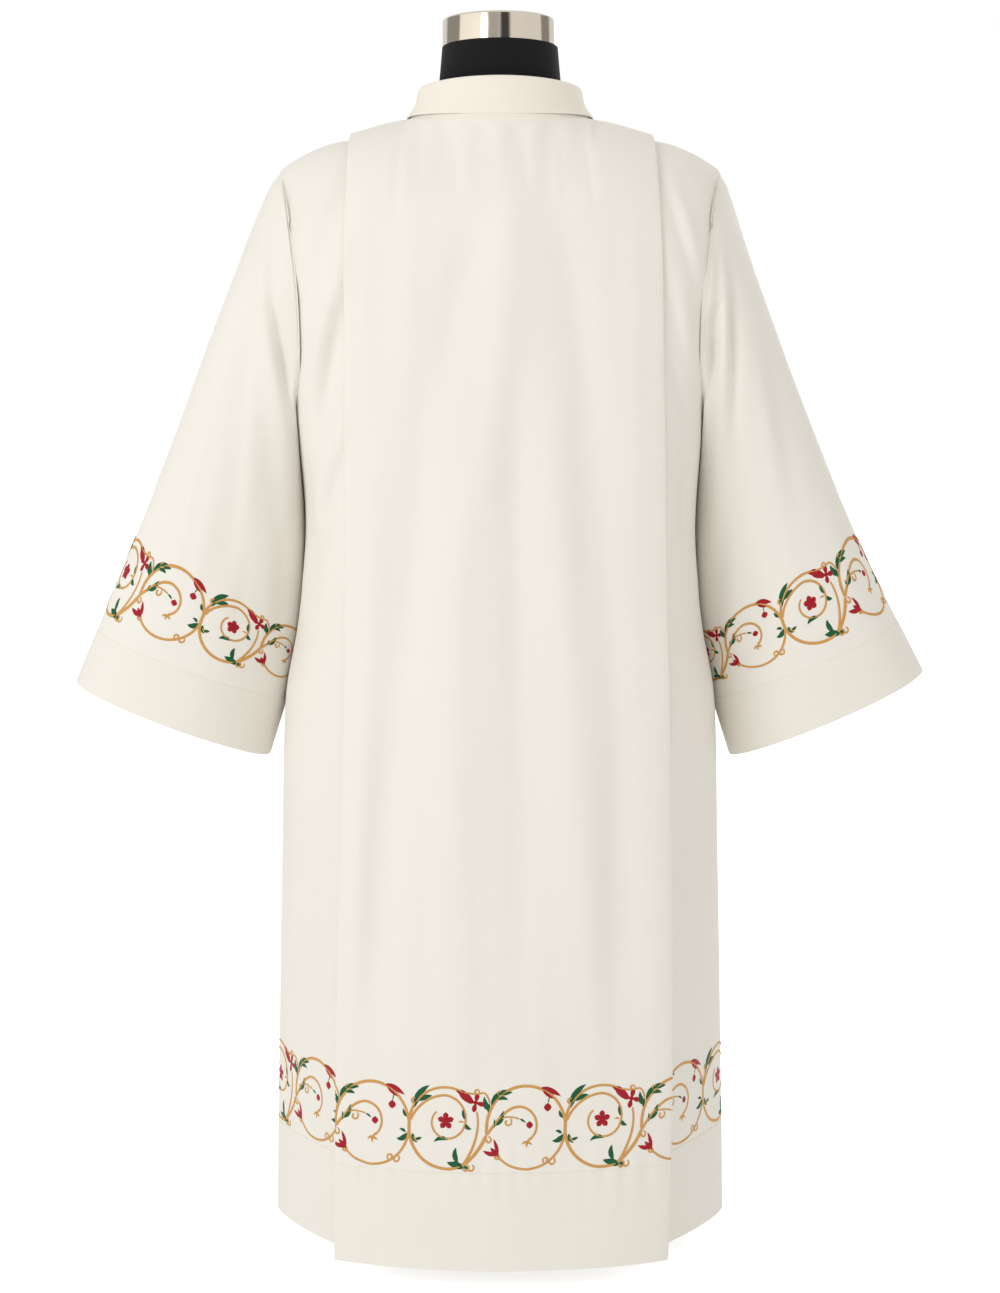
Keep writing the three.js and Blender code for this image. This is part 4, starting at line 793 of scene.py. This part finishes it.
# one repeat: the open scroll (A), then the closed one (B), each on the stem of the one before
def oneRepeat():
    d, a, b = Drawing(), scroll["ringA"], scroll["ringB"]
    foot, fork = np.array(scroll["foot"], float), np.array(scroll["fork"], float)
    nextFoot = foot + (scroll["repeat"], 0)

    d.stem(bend(foot, (1, 0.7), fork, (0.45, 1)), 1.7, 1.9)
    ringStart = onRing(a, 168)
    d.stem(joined(bend(fork, (0.1, 1), ringStart, (0.28, 1)),
                  arc(a["u"], a["v"], (a["radius"], a["radius"]), (168, -142))), 1.7, 1.15)
    hook = joined(bend(fork, (1, 1.2), (57, 60.5), (1, 0)), arc(57, 42, (18.5, 15), (90, -62)))
    d.stem(hook, 1.5, 1.1)
    star = hook[-1]
    for way in (-150, -95, -35, 38):
        d.leaf(star, way, 6.2, 1.25, 12, goldThread)
    twig = bend((36, 48), (0.9, 0.7), (57, 49), (1, -0.35))
    d.stem(twig, 0.95, 0.8)
    d.leaf(twig[-1], -28, 6.5, 1.1, -14)
    d.berry((66.5, 43.5), 3.5)
    d.curl((47.5, 49.8), -35, 4.4, -1, 0.95)

    d.stem(bend(onRing(a, 52, -1.2), (0.1, -1), (84.5, 63), (-0.1, -1)), 0.6, 0.5, greenThread)
    d.berry((84.2, 59.4), 3.9)
    d.curl((25.5, 33), 5, 3.6, -1, 0.9)
    d.curl(onRing(a, 126, 0.6), 100, 2.9, 1)
    d.curl(onRing(a, -62, -0.6), 150, 3.5, -1)
    d.curl(onRing(a, -46, 0.8), -36, 4.2, -1)
    d.curl((5, 7), -30, 4.0, -1, 1.1)

    lily = onRing(a, -142)
    d.leaves([(2.5, -2, 104, 16, 1.9, 12), (1.5, -1, 168, 14, 2.3, -16), (2.5, -2, 134, 10, 2.3, 0),
              (4.4, -2.6, 160, 6.5, 2.0, 0)], lily, redThread)
    d.curl((lily[0] - 0.5, lily[1] - 1.5), -120, 3.2, 1, 0.85)

    d.leaves([(-7, 3.4, -22, 22, 2.9, -14), (-5, 2.8, -40, 16, 2.3, 8), (-1, 1.5, -12, 9, 1.5, 12)],
             onRing(a, 58, 0.6), redThread)
    d.leaves([(29, 61, 44, 23, 3.1, -28), (33, 67, 2, 13, 2.2, -32), (38, 71, 14, 12, 2.3, -20),
              (28, 59, 122, 13, 2.3, -36), (33, 43, 58, 16, 2.9, 22), (31.5, 41, 84, 8, 1.3, 14),
              (99, 34, 214, 13, 2.7, -46), (98, 34.5, 150, 7, 1.6, 30), (99.5, 49, 122, 8.5, 1.6, -26)])

    joint = np.array(scroll["joint"])
    d.stem(arc(b["u"], b["v"], (b["radius"], 39.8), (180, 294)), 1.7, 1.5)
    d.stem(arc(b["u"], b["v"], (b["radius"], 37.5), (186, 58)), 1.5, 1.2)
    d.stem(bend(joint + (0, -9), (0, 1), joint + (0.4, 9), (0, 1)), 1.4, 1.6)
    d.leaves([(105, 33, -58, 9, 1.3, 20)], thread=goldThread)
    coil = joined(bend((103, 46), (0.35, 1), (137.5, 70.5), (1, 0)), arc(137.5, 47, (23.5, 11.5), (90, -225)))
    d.stem(coil, 1.35, 0.95)
    d.flower((138, 46.5), 5, 7.6, 3.0, 18)
    d.leaves([(107, 58, 56, 27, 3.4, -30), (112, 64, 26, 14, 2.4, -22), (105.5, 34, -70, 10, 1.9, 40),
              (107.5, 29, 10, 7, 1.6, 20), (157.5, 48, 100, 12, 1.9, -22), (157, 45, -46, 9, 2.1, 44)])
    d.leaves([(156, 46, 176, 6, 1.0, 10)], thread=goldThread)
    d.leaves([(140, 29, 186, 15, 2.2, 40)])

    d.leaves([(0, 1.5, 174, 15, 3.2, -16), (-4, 3, 100, 15, 2.6, -34), (3, -1, 188, 9, 2.0, 14),
              (1, 0, -20, 6, 1.8, 0)], nextFoot)
    d.stem(bend(nextFoot, (0.8, 1), (168.5, 56), (-0.25, 1)), 1.5, 1.0)
    d.flower((167.5, 64), 4, 8.6, 2.5, 76)
    bud = onRing(b, 58, 2.6)
    d.leaves([(-9, 3, -30, 21, 3.1, -12), (-6, 3, -46, 18, 2.5, 12)], bud, redThread)
    tendril = joined(bend((bud[0] - 2, bud[1] + 0.8), (1, -0.1), (174, 73), (1, 0.35)),
                     bend((174, 73), (1, 0.35), (181.5, 63), (0.05, -1)))
    d.stem(tendril, 0.95, 0.95)
    d.curl((171, 72.4), 60, 3.0, 1, 0.8)
    d.leaves([(181.5, 63, -100, 9, 1.6, 24), (181.5, 58, 148, 9, 1.5, -30)])
    d.curl((109, 66), 128, 3.4, 1, 1.0)
    d.curl(nextFoot + (10, 2), -28, 3.9, -1, 1.0)
    return d.strokes


strip = {"profile": (-1, -0.72, 0, 0.72, 1), "low": 0.2, "share": 0.6, "edge": 0.97, "sunk": 0.12}


# a raised strip of stitches along each line: its flat places, its lift, its faces and its own UV
def stitchStrips(strokes, rise):
    profile = np.array(strip["profile"])
    points, faces, uvs, threads, total = [], [], [], [], 0
    for line, width, thread in strokes:
        n = len(line)
        way = np.gradient(line, axis=0)
        way /= np.maximum(np.linalg.norm(way, axis=1, keepdims=True), 1e-9)
        side = np.stack([-way[:, 1], way[:, 0]], 1)
        flat = line[:, None] + side[:, None] * (width[:, None] * profile)[:, :, None]
        crown = np.minimum(rise, strip["low"] + width * strip["share"])
        lift = crown[:, None] * np.sqrt(1 - (profile * strip["edge"]) ** 2) - strip["sunk"]
        points.append(np.concatenate([flat, lift[:, :, None]], 2).reshape(-1, 3))
        i, k = np.meshgrid(np.arange(n - 1), np.arange(len(profile) - 1), indexing="ij")
        i, k = i.ravel(), k.ravel()
        corners = [(i, k), (i + 1, k), (i + 1, k + 1), (i, k + 1)]
        faces.append(np.stack([total + a * len(profile) + b for a, b in corners], 1))
        length = np.concatenate([[0], np.cumsum(np.linalg.norm(np.diff(line, axis=0), axis=1))])
        uvs.append(np.stack([np.stack([length[a], profile[b] * width[a]], -1) for a, b in corners], 1) * mm)
        threads.append(np.full(len(i), thread))
        total += n * len(profile)
    return tuple(np.concatenate(v) for v in (points, faces, uvs, threads))


# lays flat work on the cloth: the columns from one to another of a grid, and the rows above a seam
class ClothPatch:
    def __init__(self, grid, first, last, zeroColumn, rowAtZero=-1):
        normals = gridNormals(grid)
        self.lay(grid[first:last + 1], normals[first:last + 1], zeroColumn - first, rowAtZero)

    def lay(self, grid, normals, zeroColumn, rowAtZero):
        self.grid, self.normals = grid, normals
        length = np.linalg.norm(np.diff(grid[:, rowAtZero], axis=0), axis=1)
        self.u = np.concatenate([[0], np.cumsum(length)])
        self.u -= np.interp(zeroColumn, np.arange(len(self.u)), self.u)
        along = np.linalg.norm(np.diff(grid, axis=1), axis=2).mean(0)
        self.v = np.concatenate([np.cumsum(along[::-1])[::-1], [0]])

    def place(self, flat):
        c = np.interp(flat[:, 0], self.u, np.arange(len(self.u)))
        r = np.interp(flat[:, 1], self.v[::-1], np.arange(len(self.v))[::-1])
        i, j = np.minimum(c.astype(int), len(self.u) - 2), np.minimum(r.astype(int), len(self.v) - 2)
        s, t = (c - i)[:, None], (r - j)[:, None]

        def sampled(a):
            return (a[i, j] * (1 - s) * (1 - t) + a[i + 1, j] * s * (1 - t)
                    + a[i, j + 1] * (1 - s) * t + a[i + 1, j + 1] * s * t)
        out = sampled(self.normals)
        out /= np.linalg.norm(out, axis=1, keepdims=True)
        return sampled(self.grid) + out * (g["bodyCloth"] / 2 + flat[:, 2:3])

    # the part of a piece of work that lies within the patch, as an object on the cloth
    def attach(self, name, work, margin, finishes):
        points, faces, uvs, threads = work
        good = (points[:, 0] > self.u[0] + margin) & (points[:, 0] < self.u[-1] - margin)
        kept = good[faces].all(1)
        used, again = np.unique(faces[kept], return_inverse=True)
        faces = again.reshape(-1, 4)[:, ::-1]
        return meshObject(name, self.place(points[used]), faces, finishes, uvs[kept][:, ::-1], threads[kept])


# a patch all round a sleeve, cut open beside the body, where its u is measured from
class SleevePatch(ClothPatch):
    def __init__(self, grid, rowAtZero=-1):
        half = len(grid) // 2
        grid = np.concatenate([grid[half:], grid[:half + 1]])
        normals = gridNormals(grid)
        normals[0] = normals[-1] = (normals[0] + normals[-1]) / 2
        self.lay(grid, normals, half, rowAtZero)


threadLook = {"roughness": 0.5, "specular": 0.25, "slant": 0.45, "strand": 0.0009, "toneScale": 260.0,
              "grooveShadeShare": 0.6, "toneShare": 0.4, "relief": 0.00018, "strength": 0.9}


# satin-stitch thread: its colour runs from the light colour on each strand's crest to painted shade in the
# grooves between strands, mixed with a random tone
def threadFinish(name, light, grooveShadeAndTone):
    look = threadLook
    made = Finish(name, Roughness=look["roughness"], Specular_IOR_Level=look["specular"])
    uv, along, across = made.threadPlace()
    slant = (along + across * look["slant"]) * (2 * math.pi / look["strand"])
    strand = slant.sine() * 0.5 + 0.5
    tone = made.noise(uv, look["toneScale"], 2.0)
    # painted shade: where the strand's bump is low, the groove between strands takes the darker colour
    made.feed("Base Color", made.mix(strand * look["grooveShadeShare"] + tone * look["toneShare"], grooveShadeAndTone, light))
    made.bump(strand, look["relief"], look["strength"])
    return made


# each thread's second colour is painted shade for the grooves between strands, and the darker end of its
# random tone
threadFinishes = [
    threadFinish("gold_thread", colour(232, 182, 108), colour(184, 126, 56)),
    threadFinish("green_thread", colour(0, 106, 60), colour(0, 60, 34)),
    threadFinish("red_thread", colour(194, 2, 32), colour(124, 0, 18)),
]
repeatStrokes = oneRepeat()
embroideries = {}


# repeats all along a patch, with the first foot at a phase; they sink by a drop half way along
def embroider(name, patch, phase, margin=0, base=2.8, size=(1.0325, 1.1), drop=0):
    low, high = patch.u[0] + margin, patch.u[-1] - margin
    repeat, strokes = scroll["repeat"] * size[0], []
    first, last = math.floor((low - phase) / repeat) - 1, math.ceil((high - phase) / repeat) + 1
    for n in range(first, last + 1):
        for line, width, thread in repeatStrokes:
            moved = line * size + (phase + n * repeat, base)
            turn = 2 * np.pi * (moved[:, 0] - (low + high) / 2) / (high - low)
            moved[:, 1] -= drop * (1 + np.cos(turn)) / 2
            if moved[:, 0].max() > low and moved[:, 0].min() < high:
                strokes.append((moved, width, thread))
    embroideries[name] = patch.attach(name, stitchStrips(strokes, scroll["rise"]), margin, threadFinishes)


# where each part of the cloth starts and ends among the columns
labels = [(p, h) for p, _, h in bodyColumns()]
centre = len(labels) // 2


def columnsOf(part, hand):
    found = [i for i, label in enumerate(labels) if label == (part, hand)]
    return min(found), max(found)


border = {
    "phase": -38.8, "roundEdge": 3, "sideMargin": 0.4, "cuffMargin": 0.5, "cuffRow": -12,
    "sideSize": {"left": (1.12, 1.12), "right": (1.25, 1.1)},
    "pleatCut": {"left": 99, "right": 43},  # where in a repeat the back's pleats cut the pattern
    "cuff": {"left": {"phase": 48.6, "base": 28, "size": (0.94, 0.9), "drop": 11},
             "right": {"phase": 39, "base": 24.5, "size": (0.94, 0.91), "drop": 10}},
}
# the panel's border turns a little way round the folded edges
turned = columnCounts["edge"] - border["roundEdge"], border["roundEdge"]
panelReach = columnsOf("edge", -1)[0] + turned[0], columnsOf("edge", 1)[0] + turned[1]
sideReach = {"left": (columnsOf("side", -1)[0], columnsOf("under", -1)[1]),
             "right": (columnsOf("under", 1)[0], columnsOf("side", 1)[1])}
sideStart = {"left": columnsOf("side", -1)[1], "right": columnsOf("side", 1)[0]}
phases = {}
for side, grid in (("back", back), ("front", front)):
    embroider(f"{side}_panel_embroidery", ClothPatch(grid, *panelReach, centre), border["phase"])
    for end, reach in sideReach.items():
        if side == "front":
            reach = len(labels) - 1 - reach[1], len(labels) - 1 - reach[0]
        outer = 0 if (side == "back") == (end == "left") else 1
        patch = ClothPatch(grid, *reach, reach[outer])
        size = border["sideSize"][end]
        if side == "back":
            phases[end] = patch.u[sideStart[end] - reach[0]] - border["pleatCut"][end] * size[0]
        embroider(f"{side}_{end}_embroidery", patch, phases[end], border["sideMargin"], size=size)
for name, main in sleeveMains.items():
    patch = SleevePatch(main, border["cuffRow"])
    embroider(f"{name}_sleeve_embroidery", patch, margin=border["cuffMargin"], **border["cuff"][name])
print("embroidery", sum(len(o.data.polygons) for o in embroideries.values()) * 2, "triangles")

stitch = {"pitch": 2.9, "length": 2.1, "width": 0.24, "ends": 0.1, "rise": 0.34, "above": 1.6,
          "start": 1, "margin": 0.5}
# the sewing thread's second colour is painted shade in the grooves between its strands, and the darker end of
# its random tone
creamThread = threadFinish("cream_sewing_thread", colour(246, 240, 226), colour(222, 214, 196))


# one row of stitches just above a band
def sew(name, patch):
    strokes = []
    width = np.array([stitch["ends"], 1, 1, stitch["ends"]]) * stitch["width"]
    for u in np.arange(patch.u[0] + stitch["start"], patch.u[-1] - stitch["start"], stitch["pitch"]):
        line = np.stack([np.linspace(u, u + stitch["length"], 4), np.full(4, stitch["above"])], 1)
        strokes.append((line, width, 0))
    return patch.attach(name, stitchStrips(strokes, stitch["rise"]), stitch["margin"], [creamThread])


seams = [sew(f"{side}_seam_stitches", ClothPatch(grid, 0, len(grid) - 1, centre))
         for side, grid in (("back", back), ("front", front))]
seams += [sew(f"{name}_cuff_stitches", SleevePatch(main)) for name, main in sleeveMains.items()]
print("stitching")

torsoSections = table("z side back front round", [
    (402, 150, 78, 84, 2.2), (410, 168, 92, 97, 2.2), (440, 177, 103, 104, 2.3),
    (520, 181, 112, 106, 2.3), (620, 174, 106, 104, 2.3), (730, 165, 97, 102, 2.3),
    (830, 172, 101, 108, 2.3), (920, 184, 110, 117, 2.3), (1000, 192, 116, 119, 2.3),
    (1060, 200, 117, 112, 2.3), (1105, 207, 108, 98, 2.3), (1130, 208, 95, 84, 2.2),
    (1146, 194, 84, 74, 2.1), (1159, 170, 76, 68, 2), (1168, 140, 72, 66, 2), (1177, 110, 70, 66, 2),
    (1190, 73, 68, 66, 2), (1208, 66, 65, 64, 2), (1232, 63.3, 63, 62.5, 2), (1266, 60.2, 60.2, 60.2, 2)])
form = {
    "steps": 112, "ringRuns": ((402, 440, 12), (448, 1100, 60), (1108, 1266, 46)), "sharp": 60,
    "capRadius": 0.0597, "capBottom": 1.2663, "capTop": 1.2937, "capSteps": 160, "capSharp": 35,
    "rimLevel": 0.9, "lidLevel": 0.99, "rim": 0.0022, "rimSegments": 4,
    "dome": ((0.018, 0.0011), (0.018, 0.0008), (0.016, 0.0004)),
}


looks = {
    "jersey": {"knit": 620.0, "knitWobble": 1.5, "fuzz": 900.0, "relief": 0.0002},
    "chrome": {"smear": 40.0, "lines": 900.0, "wobble": 2.0, "relief": 0.000004, "rough": 0.05,
               "spread": 0.08},
    "paint": {"peel": 420.0, "worn": 26.0, "relief": 0.00008, "rough": 0.34, "spread": 0.25},
}
look = looks["jersey"]
jersey = Finish("black_jersey", Roughness=0.86, Sheen_Weight=0.05, Sheen_Roughness=0.4,
                Specular_IOR_Level=0.2)
where = jersey.objectPlace()
knit, fuzz = jersey.bands(where, look["knit"], look["knitWobble"]), jersey.noise(where, look["fuzz"], 3.0)
jersey.feed("Base Color", jersey.mix(fuzz, colour(9, 9, 10), colour(24, 25, 27)))
jersey.bump(knit * 0.5 + fuzz * 0.5, look["relief"])


def torsoRing(z):
    s = rowAt(torsoSections, "z", z)
    turn = np.linspace(0, 2 * np.pi, form["steps"], endpoint=False)
    c, n = np.cos(turn), np.sin(turn)
    depth = np.where(n < 0, s["back"], s["front"])
    x = s["side"] * np.sign(c) * np.abs(c) ** (2 / s["round"])
    y = depth * np.sign(n) * np.abs(n) ** (2 / s["round"])
    return np.stack([x, y, np.full(len(turn), z)], 1)


heights = np.concatenate([np.linspace(*run) for run in form["ringRuns"]])
points = np.concatenate([*map(torsoRing, heights), [[0, 0, heights[0]], [0, 0, heights[-1]]]])
steps, topRing = form["steps"], (len(heights) - 1) * form["steps"]
around = [(i, (i + 1) % steps) for i in range(steps)]
faces = [(low + i, low + k, low + steps + k, low + steps + i)
         for low in range(0, topRing, steps) for i, k in around]
for i, k in around:
    faces += [(len(points) - 2, k, i), (len(points) - 1, topRing + i, topRing + k)]
torso = meshObject("form_jersey", points, faces, [jersey])
bpy.ops.object.shade_smooth_by_angle(angle=math.radians(form["sharp"]))


# in edit mode, nothing but the faces that look up more than a level
def selectUpperFaces(piece, level):
    bpy.ops.mesh.select_all(action="DESELECT")
    bpy.ops.object.mode_set(mode="OBJECT")
    for face in piece.data.polygons:
        face.select = face.normal.z > level
    bpy.ops.object.mode_set(mode="EDIT")


bpy.ops.object.select_all(action="DESELECT")
capHeight = form["capTop"] - form["capBottom"]
bpy.ops.mesh.primitive_cylinder_add(vertices=form["capSteps"], radius=form["capRadius"], depth=capHeight,
                                    location=(0, 0, form["capBottom"] + capHeight / 2))
cap = bpy.context.object
cap.name = "polished_neck_cap"
bpy.ops.object.mode_set(mode="EDIT")
bpy.ops.mesh.select_mode(type="FACE")
selectUpperFaces(cap, form["rimLevel"])
bpy.ops.mesh.bevel(offset=form["rim"], segments=form["rimSegments"], affect="EDGES")
selectUpperFaces(cap, form["lidLevel"])
for inward, lift in form["dome"]:
    bpy.ops.mesh.inset(thickness=inward)
    bpy.ops.transform.translate(value=(0, 0, lift))
bpy.ops.object.mode_set(mode="OBJECT")
bpy.ops.object.transform_apply(location=True, rotation=True, scale=True)
bpy.ops.object.shade_smooth_by_angle(angle=math.radians(form["capSharp"]))
look = looks["chrome"]
chrome = Finish("polished_steel", Metallic=1.0)
where = chrome.objectPlace()
smear = chrome.noise(where, look["smear"], 3.0)
chrome.feed("Base Color", chrome.mix(smear, colour(236, 230, 220), colour(224, 216, 204)))
chrome.feed("Roughness", smear * look["spread"] + look["rough"])
chrome.bump(chrome.bands(where, look["lines"], look["wobble"]), look["relief"])
cap.data.materials.append(chrome.made)

look = looks["paint"]
paint = Finish("painted_steel", Metallic=0.35, Specular_IOR_Level=0.5)
where = paint.objectPlace()
worn = paint.noise(where, look["worn"], 4.0)
paint.feed("Base Color", paint.mix(worn, colour(36, 37, 39), colour(50, 51, 54)))
paint.feed("Roughness", worn * look["spread"] + look["rough"])
paint.bump(paint.noise(where, look["peel"], 2.0), look["relief"])
for node in ("form_base", "form_pole_socket", "form_pole"):
    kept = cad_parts[node]
    kept.data.materials.clear()
    kept.data.materials.append((chrome if node == "form_pole" else paint).made)
print("dress form")

standsFor = [
    (backPiece, "back", "body_cloth"), (frontPiece, "front", "body_cloth"),
    (backBand, "back_hem_band", "band_cloth"), (frontBand, "front_hem_band", "band_cloth"),
    (standPiece, "collar_stand", "collar_cloth"), (fallPiece, "collar_fall", "collar_cloth"),
    (torso, "form_torso", "form_jersey"), (cap, "form_neck_cap", "cap_chrome"),
]
for name, (sleeve, cuffPiece) in sleevePieces.items():
    standsFor += [(sleeve, f"sleeve_{name}", "body_cloth"), (cuffPiece, f"cuff_band_{name}", "band_cloth")]
for piece, node, slot in standsFor:
    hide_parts(node)
    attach(piece, "root")
trim = [*embroideries.values(), *seams]
for piece in trim:
    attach(piece, "root")
